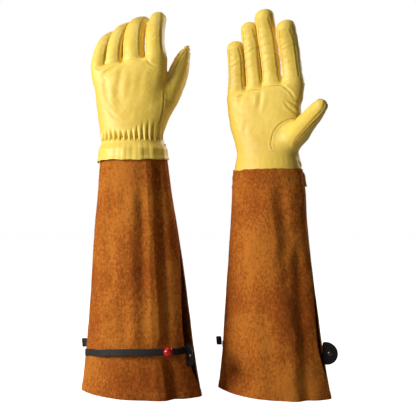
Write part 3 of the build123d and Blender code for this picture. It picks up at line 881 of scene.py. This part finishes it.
def cuff_point(glove, side, t, z, outward=0.0):
    """Point and normal on the cuff: t runs from the thumb seam to the other seam."""
    t, z, outward = np.broadcast_arrays(t, z, outward)
    wide, tight, drop, reach = oval_arcs(*cuff_half(z))
    corner = tight * WIDE_ARC
    whole = 2 * corner + wide * (math.pi - 2 * WIDE_ARC)
    s = t * whole
    thumb_angle = s / tight
    mid_angle = WIDE_ARC + (s - corner) / wide
    end_angle = math.pi - (whole - s) / tight
    on_thumb, on_end = s < corner, s > whole - corner
    angle = np.where(on_thumb, thumb_angle, np.where(on_end, end_angle, mid_angle))
    radius = np.where(on_thumb | on_end, tight, wide) + outward
    shift = np.where(on_thumb, reach, np.where(on_end, -reach, 0.0))
    sink = np.where(on_thumb | on_end, 0.0, drop)
    h = z - glove.wrist
    x = spread_out(glove, -LEAN * h + shift + radius * np.cos(angle), z)
    y = side * (radius * np.sin(angle) - sink)
    normal = np.stack([np.cos(angle), side * np.sin(angle), np.zeros_like(angle)], -1)
    return np.stack([x, y, h], -1), normal


def fold_line(z, t, line, width, depth):
    """A long fold down the cuff along a line of (height, t) points."""
    z_points, t_points = np.array(line).T
    where = np.interp(z, z_points, t_points)
    ends = smooth_step(z_points[0], z_points[0] + 35, z) * smooth_step(
        z_points[-1], z_points[-1] - 35, z
    )
    gap = (t - where) / width
    return depth * ends * (-bell(gap, 1.0) + 0.6 * bell(gap - 1.9, 1.1))


# for each panel, long folds as (width, depth, points), with points of (height, t)
FRONT_FOLDS = {
    "left": [
        (0.045, 4.6, [(-50, 0.2), (60, 0.22), (150, 0.21), (230, 0.19), (385, 0.155)]),
        (0.05, 1.6, [(40, 0.4), (150, 0.38), (280, 0.36)]),
        (0.06, 1.6, [(120, 0.66), (220, 0.7), (316, 0.66)]),
        (0.05, 1.2, [(0, 0.5), (70, 0.52), (150, 0.6)]),
    ],
    "right": [
        (0.07, 2.8, [(70, 0.22), (160, 0.26), (240, 0.3), (290, 0.3)]),
        (0.05, 3.0, [(-40, 0.2), (100, 0.17), (210, 0.16)]),
        (0.055, 1.5, [(90, 0.62), (180, 0.7), (270, 0.74)]),
        (0.05, 1.1, [(0, 0.44), (60, 0.46), (130, 0.52)]),
    ],
}
REAR_FOLDS = [
    (0.06, 2.2, [(40, 0.4), (140, 0.45), (260, 0.42)]),
    (0.05, 1.6, [(90, 0.7), (190, 0.66), (280, 0.7)]),
    (0.05, 1.4, [(0, 0.25), (100, 0.22), (200, 0.2)]),
]


def cuff_relief(glove, side, t, z, top, folds, points):
    """How far the suede stands out of or into its even shape."""
    total = np.zeros_like(t)
    for width, depth, line in folds:
        total += fold_line(z, t, line, width, depth)
    total += 1.1 * waves(points * [1, 1, 0.5], 62, glove.seed + 20 + side)
    total += 0.45 * waves(points * [1, 1, 0.7], 24, glove.seed + 30 + side)
    total += 0.16 * waves(points, 9, glove.seed + 40 + side)
    quiet_seams = smooth_step(0.0, 0.1, t) * smooth_step(1.0, 0.92, t)
    quiet_top = smooth_step(top + 12, top - 30, z)
    tape = bell(z - 60.0, 14) if side == glove.back else 0.0
    total = total * (0.25 + 0.75 * quiet_seams) * quiet_top * (1 - 0.9 * tape)
    hem = 0.5 * smooth_step(10.0, 7.5, z) - 0.35 * bell(z - HEM_ROW, 0.8)
    return np.minimum(total, 1.6) + hem


def slit_inset(z, widest):
    """How far a panel's edge stands back from the open thumb-side seam."""
    rise = smooth_step(-8.0, SLIT_WIDEST, z) - smooth_step(-8.0, SLIT_WIDEST, 0.0)
    fall = smooth_step(SLIT_TOP + 20, SLIT_WIDEST, z)
    return 0.1 + widest * rise * fall


def make_cuff_panel(glove, side, name, drop, folds):
    top = glove.wrist - drop
    rows, cols = ((190, 130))
    z = np.concatenate([[0, 0.4], np.linspace(1.2, top - 0.6, rows - 4), [top - 0.2, top]])
    z, share = np.meshgrid(z, np.linspace(0, 1, cols), indexing="ij")
    widest = glove.slit[0] if side == glove.back else glove.slit[1]
    perimeter = 2.1 * cuff_half(z)[0]
    start = slit_inset(z, widest) / perimeter
    t = start + share * (1 - start - 0.0006)
    base, _ = cuff_point(glove, side, t, z)
    relief = cuff_relief(glove, side, t, z, top, folds, base)
    edge_curl = 1.2 * bell(share, 0.03) * smooth_step(20, 80, z) * smooth_step(SLIT_TOP, 130, z)
    frayed = 0.5 * waves(base, 11, glove.seed + side) * (z > top - 0.5)
    outer, normal = cuff_point(glove, side, t, z, relief + edge_curl * (side == glove.palm))
    inner = outer - normal * SUEDE
    outer[..., 2] += frayed
    inner[..., 2] += frayed
    obj = shell(
        f"{glove.side}_{name}_suede", outer, inner, glove, SUEDE_SKIN, SUEDE_EDGE, side < 0
    )
    place_stiff(glove, obj, name, "cuff")


def row_on_panel(glove, side, z, folds, top, t_range):
    """A row of stitches round a panel at one height."""
    t = np.linspace(*t_range, 400)
    level = np.full_like(t, z)
    base, _ = cuff_point(glove, side, t, level)
    relief = cuff_relief(glove, side, t, level, top, folds, base)
    path, normal = cuff_point(glove, side, t, level, relief)
    return path, normal


def make_stitches(glove, rows, name, node):
    parts = [stitch_row(path, normal, 0.32) for path, normal in rows]
    verts, faces = merge(parts)
    obj = make_object(f"{glove.side}_{name}", glove.world(verts), faces, THREAD)
    place_stiff(glove, obj, node, "cuff")


def make_cuff(glove):
    folds = {-1: FRONT_FOLDS[glove.side], 1: REAR_FOLDS}
    make_cuff_panel(glove, glove.palm, "palm_cuff", PALM_DROP, folds[glove.palm])
    make_cuff_panel(glove, glove.back, "back_cuff", BACK_DROP, folds[glove.back])
    hem_rows = []
    for side, drop in ((glove.palm, PALM_DROP), (glove.back, BACK_DROP)):
        top = glove.wrist - drop
        hem_rows.append(row_on_panel(glove, side, HEM_ROW, folds[side], top, (0.03, 0.995)))
    make_stitches(glove, hem_rows, "hem_stitches", "hem_thread")
    top = glove.wrist - PALM_DROP
    level = glove.wrist - CUFF_ROW_DROP
    row = row_on_panel(glove, glove.palm, level, folds[glove.palm], top, (0.01, 0.99))
    make_stitches(glove, [row], "cuff_stitches", "cuff_thread")


# ---------------------------------------------------------------- wrist


def wrist_surface(glove, side, t, h, outward):
    """The gathered leather between cuff and hand: t runs from the thumb side round."""
    angle = side * math.pi * t
    centre, a, b, n = glove.section(h)
    c, s = np.cos(angle), np.sin(angle)
    reach = (np.abs(c) ** n + np.abs(s) ** n) ** (-1 / n)
    x = centre + a * reach * c
    y = b * reach * s
    p = np.stack([x, y, np.broadcast_to(h, x.shape)], -1)
    middle = np.stack([np.broadcast_to(centre, x.shape), np.zeros_like(x), p[..., 2]], -1)
    flat, hub = p.reshape(-1, 3), middle.reshape(-1, 3)
    for _ in range(6):
        gap = hand_distance(glove, flat)[:, None]
        flat = flat - gap * unit(flat - hub)
    p = flat.reshape(p.shape)
    normal = unit(np.stack([c / a, s / b, np.zeros_like(c)], -1))
    offset = outward + gather(glove, p)
    return p + normal * offset[..., None], normal


def make_wrist_half(glove, side, name, low, edge_out):
    """The band outside the cuff's back, or the leather tucked into its palm."""
    rows, cols = ((64, 300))
    h = np.concatenate([[low, low + 0.5], np.linspace(low + 1.3, HAND_START + 3, rows - 2)])
    h, t = np.meshgrid(h, np.linspace(0, 1, cols), indexing="ij")
    over = side == glove.back
    below = smooth_step(-6, -16, h)
    outward = edge_out * below - 0.3 * smooth_step(HAND_START - 0.2, HAND_START + 0.6, h)
    if over:
        base = np.stack([np.cos(np.pi * t) * 45, side * np.sin(np.pi * t) * 26, h], -1)
        outward = outward + 0.8 * below * (0.5 + 0.5 * waves(base, 13, glove.seed + 60))
        outward = outward + 0.7 * bell(h - low - 1.6, 2.2)
    outer, normal = wrist_surface(glove, side, t, h, outward)
    if over:
        outer[..., 2] += 1.6 * waves(outer * [1, 1, 0], 26, glove.seed + 61) * smooth_step(
            -18, low, h
        )
        outer[..., 2] -= 1.6 * smooth_step(0.3, 1.0, t) * smooth_step(-14, low, h)
    inner = outer - normal * LEATHER
    obj = shell(
        f"{glove.side}_{name}_skin", outer, inner, glove, LEATHER_SKIN, LEATHER_EDGE, side < 0
    )
    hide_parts(f"{glove.side}_{name}")
    blend_wrist(glove, obj)


def blend_wrist(glove, obj):
    start, end = glove.world([[0, 0, -12], [0, 0, HAND_START]])
    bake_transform(obj)


def make_gather_stitches(glove):
    """The zigzag sewing that holds the elastic inside the back of the wrist."""
    t = np.linspace(0.04, 0.96, 2 * GATHERS + 1)
    h = -2.0 + 1.8 * np.where(np.arange(len(t)) % 2, 1, -1)
    points, normal = wrist_surface(glove, glove.back, t, h, np.full_like(t, 0.1))
    parts = []
    for k in range(len(t) - 1):
        share = np.linspace(0.06, 0.94, 4)[:, None]
        path = points[k] * (1 - share) + points[k + 1] * share
        parts.append(tube(path, np.repeat(normal[k : k + 1], 4, 0), 0.22, 5))
    verts, faces = merge(parts)
    obj = make_object(f"{glove.side}_gather_stitches", glove.world(verts), faces, PALE_THREAD)
    blend_wrist(glove, obj)


# ---------------------------------------------------------------- hand pieces


def finger_seams(finger):
    """Seams along the corners of the sidewalls and over the tip."""
    s = np.linspace(4, finger.run, 60)
    line, _, inward = finger.at(s)
    radius = finger.thickness(s)[:, None]
    paths = []
    for across, toward in ((0.78, 0.62), (-0.78, 0.62), (0.8, -0.6), (-0.8, -0.6)):
        narrowing = 1 - 0.35 * smooth_step(0.75, 1.0, s / finger.run)[:, None]
        aim = unit(narrowing * across * finger.side + toward * inward)
        paths.append(line + radius * aim)
    tip, tangent, _ = finger.at(finger.run)
    reach = float(finger.thickness(finger.run))
    turn = np.linspace(-0.95, 0.95, 24)[:, None]
    over = tip + reach * (np.cos(turn) * tangent + np.sin(turn) * finger.side)
    return paths + [over]


def hand_seams(glove):
    """The keystone seam round the thumb and the seams at the finger bases."""
    keystone = [(47, 62.5), (36.5, 58.6), (22.8, 52), (13.6, 40.4), (10.5, 25.6), (12, 17.5)]
    ring_base = [(-23.5, 98.6), (-14, 100.7), (-3, 100.5)]
    middle_base = [(-0.5, 103), (9.6, 103), (22, 103.3)]
    lines = [(glove.palm, points) for points in (keystone, ring_base, middle_base)]
    if glove is LEFT:
        lines.append((glove.back, [(50, 60.7), (49, 44.5), (47, 29.7), (43.5, 17.5)]))
    paths = []
    for way, points in lines:
        flat = smooth_line(points, 70)
        depth = way * 15.0
        start = np.stack([flat[:, 0], np.full(len(flat), depth), flat[:, 1]], -1)
        paths.append(on_hand(glove, start)[0])
    return paths


def thumb_seams(glove):
    """The raised seams along the thumb, from points (x, y, h) beside it."""
    if glove is LEFT:
        lines = [
            [(72, 14, 124), (62.5, 8, 108), (53.5, 6, 89), (47.5, 4, 73)],
            [(73, 22, 124), (74, 24, 104), (70, 24, 80), (62, 16, 58), (52, 8, 36)],
        ]
    else:
        welt = [(90, -56, 72.8), (81, -50, 61.8), (63, -40, 44.3), (46, -30, 29), (41, -25, 20)]
        welt = np.array(welt)
        inner = [(84, -56, 76), (70, -46, 68), (56, -34, 60), (48, -24, 56)]
        lines = [welt, welt + (1.8, 1.8, -1.8), inner]
    return [on_hand(glove, smooth_line(np.array(line, float), 60))[0] for line in lines]


def face_owner(glove, centres):
    """Which piece of the hand each face belongs to: 0 hand, 1 to 4 fingers, 5 thumb."""
    distances = finger_distances(glove, centres)
    nearest = distances.argmin(0)
    owner = np.zeros(len(centres), int)
    for k, finger in enumerate(glove.fingers):
        above = (centres - finger.base) @ finger.up
        owner[(nearest == k) & (above > 1.0)] = k + 1
    side = centres[:, 0] - side_edge(centres[:, 2])
    thumb = (side > 2.5) & (thumb_distance(glove, centres) < distances.min(0))
    owner[thumb] = 5
    return owner


def side_edge(h):
    return SIDE_START - LEAN * 18 + (h - 18) * SIDE_SLOPE


def cut_start(verts, quads):
    """Cut the hand off level where the wrist piece ends."""
    mesh = bmesh.new()
    points = [mesh.verts.new(v) for v in verts]
    for quad in quads:
        mesh.faces.new([points[k] for k in quad])
    bmesh.ops.bisect_plane(
        mesh,
        geom=mesh.verts[:] + mesh.edges[:] + mesh.faces[:],
        plane_co=(0, 0, HAND_START),
        plane_no=(0, 0, 1),
        clear_inner=True,
    )
    mesh.verts.index_update()
    out = np.array([v.co[:] for v in mesh.verts])
    faces = [[v.index for v in face.verts] for face in mesh.faces]
    mesh.free()
    return out, faces


def as_quads(faces):
    """Faces as rows of four indices, with the last one repeated in triangles."""
    rows = []
    for face in faces:
        for k in range(1, len(face) - 2, 2):
            rows.append([face[0], face[k], face[k + 1], face[k + 2]])
        if len(face) % 2:
            rows.append([face[0], face[-2], face[-1], face[-1]])
    return np.array(rows)


# height and length of the uneven swells in the leather
SKIN_WAVES = [(0.38, 38), (0.13, 13), (0.06, 5.5)]


def hand_relief(glove, verts, seams):
    """How far the skin stands out of or into the smooth hand."""
    below_fingers = smooth_step(KNUCKLES + 12, KNUCKLES - 4, verts[:, 2])
    total = crease_height(verts, CREASES[glove.side]) * below_fingers
    total += gather(glove, verts) * smooth_step(70, 30, np.abs(verts[:, 0]))
    nearest = finger_distances(glove, verts).argmin(0)
    for k, finger in enumerate(glove.fingers):
        mine = (nearest == k) & ((verts - finger.base) @ finger.up > -6)
        if mine.any():
            total[mine] += finger_folds(glove, verts[mine], finger)
    away = smooth_step(HAND_START, HAND_START + 14, verts[:, 2])
    for k, (height, length) in enumerate(SKIN_WAVES):
        total += away * height * waves(verts, length, glove.seed + 70 + k)
    return total + seam_lips(verts, seams)


def seam_tubes(skin, paths, radius=0.5):
    """Raised seams, each lying on the finished skin along a path."""
    parts = []
    for path in paths:
        found = [skin.find_nearest(Vector(point))[:2] for point in path]
        points = np.array([place[:] for place, _ in found])
        normals = np.array([normal[:] for _, normal in found])
        for _ in range(3):
            points[1:-1] = (points[:-2] + 2 * points[1:-1] + points[2:]) / 4
            normals[1:-1] = (normals[:-2] + 2 * normals[1:-1] + normals[2:]) / 4
        normals = unit(normals)
        parts.append(tube(points - 0.1 * normals, normals, radius, 6, 0.8))
    return parts


def make_skin(glove, name, verts, normals, faces, seams):
    """One piece of the hand's skin, with its seams, sharing normals along its borders."""
    used = np.unique(np.concatenate([np.asarray(f) for f in faces]))
    new_index = np.full(len(verts), -1)
    new_index[used] = np.arange(len(used))
    skin_faces = [[int(new_index[k]) for k in f] for f in faces]
    parts = [(verts[used], skin_faces)] + seams
    all_verts, all_faces = merge(parts)
    marks = np.arange(len(skin_faces), len(all_faces))
    obj = make_object(
        f"{glove.side}_{name}_skin", glove.world(all_verts), all_faces, LEATHER_SKIN, SEAM_SKIN, marks
    )
    tube_normals = np.array([n.vector[:] for n in obj.data.vertex_normals])
    turned = normals[used] @ np.array([glove.across, glove.rear, [0, 0, 1]])
    tube_normals[: len(used)] = turned
    obj.data.normals_split_custom_set_from_vertices(tube_normals.tolist())
    return obj


def side_nodes(glove, names):
    return [f"{glove.side}_{name}" for name in names]


def make_hand(glove):
    verts, quads = hand_net(glove)
    verts, faces = cut_start(verts, quads)
    normals = vertex_normals(verts, as_quads(faces))
    if ((verts - verts.mean(0)) * normals).sum() < 0:
        faces = [face[::-1] for face in faces]
        normals = -normals
    palm_seams = hand_seams(glove)
    per_finger = [finger_seams(finger) for finger in glove.fingers]
    on_thumb = thumb_seams(glove)
    all_seams = palm_seams + [path for group in per_finger for path in group] + on_thumb
    snapped = [on_hand(glove, path)[0] for path in all_seams]
    verts = verts + normals * hand_relief(glove, verts, snapped)[:, None]
    normals = vertex_normals(verts, as_quads(faces))
    centres = np.array([verts[face].mean(0) for face in faces])
    owner = face_owner(glove, centres)
    skin = BVHTree.FromPolygons(verts.tolist(), [[int(k) for k in face] for face in faces])

    def faces_of(k):
        return [face for face, o in zip(faces, owner) if o == k]

    hand = make_skin(
        glove, "hand", verts, normals, faces_of(0), seam_tubes(skin, palm_seams)
    )
    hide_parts(*side_nodes(glove, ("back_panel", "palm_panel", "thumb_gusset")))
    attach(hand, f"{glove.side}_hand")

    for k, finger in enumerate(glove.fingers):
        sewn = seam_tubes(skin, per_finger[k])
        piece = make_skin(glove, finger.name, verts, normals, faces_of(k + 1), sewn)
        nodes = [f"{finger.name}_{part}" for part in ("front", "back", "sidewalls")]
        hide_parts(*side_nodes(glove, nodes))
        start, end = glove.world(finger.base + np.outer([2.0, 20.0], finger.up))
        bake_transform(piece)

    sewn = seam_tubes(skin, on_thumb, 0.65)
    thumb = make_skin(glove, "thumb", verts, normals, faces_of(5), sewn)
    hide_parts(*side_nodes(glove, ("thumb_front", "thumb_back", "thumb_welt")))
    start, end = thumb_blend(glove)
    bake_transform(thumb)


def thumb_blend(glove):
    """Two points along the side plane's normal, 3.5 and 22 mm out from the thumb's foot."""
    normal = unit(np.array([1.0, 0.0, -SIDE_SLOPE]))
    foot = np.array([side_edge(50.0), 0.0, 50.0])
    start, end = glove.world(foot + np.outer([3.5, 22.0], normal))
    return tuple(start), tuple(end)


# ---------------------------------------------------------------- closure

TAPE_MIDDLE, TAPE_HALF = 62.5, 4.5
TAPE_CLOSE, STAND_OFF = 1.2, 7.4
RAISED_ANGLES, CONTACT_ANGLE = (-22.0, 34.0), 40.0
# the tape's last angle on the wide arc, and its angles on the tight arc after that
TAPE_END = {"left": (42.5, ()), "right": (45.0, np.linspace(47, 65, 6))}
# how far the tape lies below its middle height, from (x, drop) points
TAPE_DROOP = {
    "left": [(-72, 14.5), (-50, 8), (-20, 2.8), (10, 0.2), (40, -0.2), (50, -0.5), (75, 0.6)],
    "right": [(-72, 5), (-34, 0), (58, 0), (75, 1.5)],
}
# where the tab's flat part starts and ends along it, and how far it is forward of its hinge
TAB_PLACE = {"left": (2.4, 8.7, 0.0), "right": (-9.5, -4.6, 5.0)}


def tape_path(glove):
    """Centre line of the tape, raised off the suede where the ball slides on it."""
    wide, tight, sink, reach = oval_arcs(*cuff_half(TAPE_MIDDLE - TAPE_HALF))
    corner = math.degrees(WIDE_ARC)
    wide_end, tight_angles = TAPE_END[glove.side]
    rows = []
    for angle in np.radians(np.linspace(-88, -47, 12)):
        radius = tight + TAPE_CLOSE
        rows.append((-reach + radius * math.sin(angle), radius * math.cos(angle)))
    for angle in np.linspace(-corner, wide_end, 61):
        out = np.interp(
            angle,
            [-corner, -CONTACT_ANGLE, *RAISED_ANGLES, CONTACT_ANGLE, corner],
            [TAPE_CLOSE, TAPE_CLOSE, STAND_OFF, STAND_OFF, TAPE_CLOSE, TAPE_CLOSE],
        )
        a = math.radians(angle)
        rows.append(((wide + out) * math.sin(a), (wide + out) * math.cos(a) - sink))
    for angle in np.radians(tight_angles):
        radius = tight + TAPE_CLOSE
        rows.append((reach + radius * math.sin(angle), radius * math.cos(angle)))
    rows = np.array(rows)
    x = rows[:, 0] - LEAN * (TAPE_MIDDLE - TAPE_HALF - glove.wrist)
    where, droop = np.array(TAPE_DROOP[glove.side]).T
    level = TAPE_MIDDLE - glove.wrist - np.interp(x, where, droop)
    x = spread_out(glove, x, TAPE_MIDDLE)
    path = np.stack([x, glove.back * rows[:, 1], level], -1)
    hinge = glove.local(np.array(JOINTS[f"{glove.side}_tab_swing"]["pos_m"]))
    hinge[2] = path[-1, 2]
    return np.vstack([path, (path[-1] + hinge) / 2, hinge])


def ribbed_section():
    """Outline of woven tape: flat faces with fine ribs along it, and rounded edges."""
    up = np.linspace(-1, 1, 41)
    rib = 0.13 * np.cos(up * math.pi * 7)
    thick = 0.55 * (1 - np.abs(up) ** 8) ** 0.5 + rib * (1 - up**6)
    front = np.stack([thick, up * TAPE_HALF], -1)
    rear = np.stack([-thick, up * TAPE_HALF], -1)[::-1][1:-1]
    return np.vstack([front, rear])


def make_tape(glove):
    path = smooth_line(tape_path(glove), 220)
    tangent = unit(np.gradient(path, axis=0))
    level = unit(tangent * [1, 1, 0])
    out = np.stack([-level[:, 1], level[:, 0], np.zeros(len(level))], -1)
    out *= np.sign((out * [0, glove.back, 0]).sum(1, keepdims=True) + 1e-9)
    out = unit(out + 1e-9)
    up = unit(np.cross(out, tangent))
    up *= np.sign(up[:, 2:3])
    section = ribbed_section()
    verts = path[:, None] + section[None, :, :1] * out[:, None] + section[None, :, 1:] * up[:, None]
    faces = closed_tube(len(path), len(section))
    obj = make_object(f"{glove.side}_ribbed_tape", glove.world(verts.reshape(-1, 3)), faces, TAPE)
    face_outwards(obj)
    obj.data.set_sharp_from_angle(angle=math.radians(60))
    place_stiff(glove, obj, "closure_tape", "cuff")


def rounded_plate(outline, thickness, round_off):
    """A plate with rounded edges, drawn from its outline in its own plane."""
    middle = outline.mean(0)
    levels = []
    half = thickness / 2
    for step in np.linspace(0, 1, 5):
        a = step * math.pi / 2
        levels.append((round_off * (1 - math.sin(a)), half - round_off * (1 - math.cos(a))))
    levels = levels + [(inset, -height) for inset, height in levels[::-1]]
    size = np.linalg.norm(outline - middle, axis=1).mean()
    verts = []
    for inset, height in levels:
        ring = middle + (outline - middle) * (1 - inset / size)
        verts.append(np.column_stack([ring, np.full(len(ring), height)]))
    count = len(outline)
    faces = grid_quads(len(levels), count, wrap=True).tolist()
    faces.append(list(range(count)))
    faces.append([(len(levels) - 1) * count + k for k in range(count)][::-1])
    return np.vstack(verts), faces


def make_tab(glove):
    """The D-shaped pull tab, a stiff flat plate with rounded edges."""
    low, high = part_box(f"{glove.side}_pull_tab")
    middle = (np.array(low) + np.array(high)) / 2
    hinge = np.array(JOINTS[f"{glove.side}_tab_swing"]["pos_m"])
    along = unit((middle - hinge) * [1, 1, 0])
    height = high[2] - low[2]
    half = height / 2 / MM
    arc = np.linspace(-math.pi / 2, math.pi / 2, 26)
    root, flat, forward = TAB_PLACE[glove.side]
    d = [(root, half * k) for k in np.linspace(0.86, -0.86, 12)]
    straight = [root + (flat - root) * k for k in (0.3, 0.65)]
    d += [(x, -half) for x in straight]
    d += [(flat + half * math.cos(a), half * math.sin(a)) for a in arc]
    d += [(x, half) for x in straight[::-1]]
    verts, faces = rounded_plate(np.array(d), 2.0, 0.7)
    across = np.cross(along, [0, 0, 1.0])
    hinge[2] = middle[2]
    hinge[1] -= forward * MM
    placed = (
        hinge
        + verts[:, :1] * MM * along
        + verts[:, 1:2] * MM * np.array([0, 0, 1.0])
        + verts[:, 2:] * MM * across
    )
    obj = make_object(f"{glove.side}_pull_tab_plate", placed, faces, TAB)
    face_outwards(obj)
    obj.data.set_sharp_from_angle(angle=math.radians(45))
    place_stiff(glove, obj, "pull_tab", "tab")
    make_rivet(glove, hinge + (flat + 0.3 * half) * MM * along, across)


def make_rivet(glove, centre, facing):
    """The round metal rivet in the tab: a low dome on both of its faces."""
    dome = [(0.0, 1.9), (1.5, 1.8), (2.6, 1.4), (3.2, 0.9)]
    profile = dome + [(radius, -out) for radius, out in dome[::-1]]
    up = np.array([0, 0, 1.0])
    side = unit(np.cross(facing, up))
    turns = np.linspace(0, 2 * math.pi, 20, endpoint=False)
    verts = []
    for radius, out in profile:
        for turn in turns:
            spoke = math.cos(turn) * side + math.sin(turn) * up
            verts.append(centre + MM * (radius * spoke + out * facing))
    faces = grid_quads(len(profile), len(turns), wrap=True)
    obj = make_object(f"{glove.side}_rivet_dome", verts, faces, RIVET)
    face_outwards(obj, weld=True)
    place_stiff(glove, obj, "tab_rivet", "tab")


def make_tape_tail(glove):
    """The tape's other end, cut off just outside the seam and drooping a little."""
    low, high = (glove.local(np.array(corner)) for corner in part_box(f"{glove.side}_tape_tail"))
    middle = (low + high) / 2
    section = ribbed_section()
    steps = np.linspace(0, 1, 12)
    direction = np.array([-1.0, 0, 0])
    verts = []
    for s in steps:
        bend = np.array([-3.0, 0.5 * math.sin(s * 3), -9.5 - 0.6 * s])
        centre = middle + direction * (s - 0.5) * 7.5 + bend
        scale = 1.0 if 0 < s < 1 else 0.9
        verts.append(
            centre + section[:, :1] * np.array([0, 1.0, 0]) * scale
            + section[:, 1:] * np.array([-0.12, 0, 1.3]) * scale
        )
    faces = closed_tube(len(steps), len(section))
    obj = make_object(f"{glove.side}_tape_end", glove.world(np.vstack(verts)), faces, TAPE)
    face_outwards(obj)
    place_stiff(glove, obj, "tape_tail", "cuff")


def finish_cad_node(node, material):
    obj = frame["nodes"][node]
    obj.data.materials.clear()
    obj.data.materials.append(material)


def make_closure(glove):
    make_tape(glove)
    make_tape_tail(glove)
    make_tab(glove)
    finish_cad_node(f"{glove.side}_closure_ball", BALL)
    finish_cad_node(f"{glove.side}_wrist_elastic", ELASTIC)


# ---------------------------------------------------------------- studio


CAMERA_PLACE = (-0.0059, -0.8508, 0.245)
LENS, SENSOR = 56.25, 36.0
FLOOR_HALF, FLOOR_GLOW = 6.0, 0.97
ROOM_LIGHT = 0.05
LIGHT_AIM = (0, 0, 0.25)
# name, place, size and power of each lamp
LAMPS = [
    ("key", (-1.56, -0.7, 0.68), 0.7, 34.0),
    ("fill", (-0.8, -1.6, 0.7), 0.8, 1.2),
    ("rim", (1.0, 0.8, 0.95), 0.5, 11.0),
    ("top", (-0.3, -0.1, 1.6), 0.6, 4.0),
]


def make_camera():
    data = bpy.data.cameras.new("camera")
    data.lens = LENS
    data.sensor_width = SENSOR
    camera = bpy.data.objects.new("camera", data)
    camera.location = CAMERA_PLACE
    camera.rotation_euler = (math.radians(90), 0, 0)
    bpy.context.scene.collection.objects.link(camera)
    bpy.context.scene.camera = camera


def make_floor():
    """White paper that looks evenly bright but throws little light back."""
    paper = plain_material("floor_paper", (0.4,) * 3, (0.37,) * 3, 0.9, 3, 0.0001, 0.1)
    tree = paper.node_tree
    shader = tree.nodes["Principled BSDF"]
    shader.inputs["Emission Color"].default_value = (1, 1, 1, 1)
    seen = tree.nodes.new("ShaderNodeLightPath").outputs["Is Camera Ray"]
    glow = tree.nodes.new("ShaderNodeMath")
    glow.operation = "MULTIPLY"
    glow.inputs[1].default_value = FLOOR_GLOW
    tree.links.new(seen, glow.inputs[0])
    tree.links.new(glow.outputs[0], shader.inputs["Emission Strength"])
    square = [(-1, -1, 0), (1, -1, 0), (1, 1, 0), (-1, 1, 0)]
    corners = FLOOR_HALF * np.array(square)
    make_object("floor", corners, [(0, 1, 2, 3)], paper)


def make_world():
    """A white room, bright to look at but lighting the gloves only a little."""
    world = bpy.data.worlds.new("studio")
    bpy.context.scene.world = world
    world.use_nodes = True
    tree = world.node_tree
    background = tree.nodes["Background"]
    background.inputs["Color"].default_value = (1, 1, 1, 1)
    path = tree.nodes.new("ShaderNodeLightPath")
    strength = tree.nodes.new("ShaderNodeMapRange")
    strength.inputs["To Min"].default_value = ROOM_LIGHT
    strength.inputs["To Max"].default_value = 1.0
    tree.links.new(path.outputs["Is Camera Ray"], strength.inputs["Value"])
    tree.links.new(strength.outputs["Result"], background.inputs["Strength"])


def make_lamp(name, place, size, power):
    data = bpy.data.lights.new(name, "AREA")
    data.size = size
    data.energy = power
    lamp = bpy.data.objects.new(name, data)
    lamp.location = place
    aim = Vector(LIGHT_AIM) - Vector(place)
    lamp.rotation_euler = aim.to_track_quat("-Z", "Y").to_euler()
    bpy.context.scene.collection.objects.link(lamp)


def make_studio():
    bpy.context.scene.view_settings.view_transform = "Standard"
    make_camera()
    make_floor()
    make_world()
    for lamp in LAMPS:
        make_lamp(*lamp)


make_studio()
for glove in GLOVES:
    make_cuff(glove)
    make_wrist_half(glove, glove.back, "wrist_band", -BAND_DROP, 2.4)
    make_wrist_half(glove, glove.palm, "wrist_leather", -TUCK_DROP, -3.6)
    make_gather_stitches(glove)
    make_hand(glove)
    make_closure(glove)
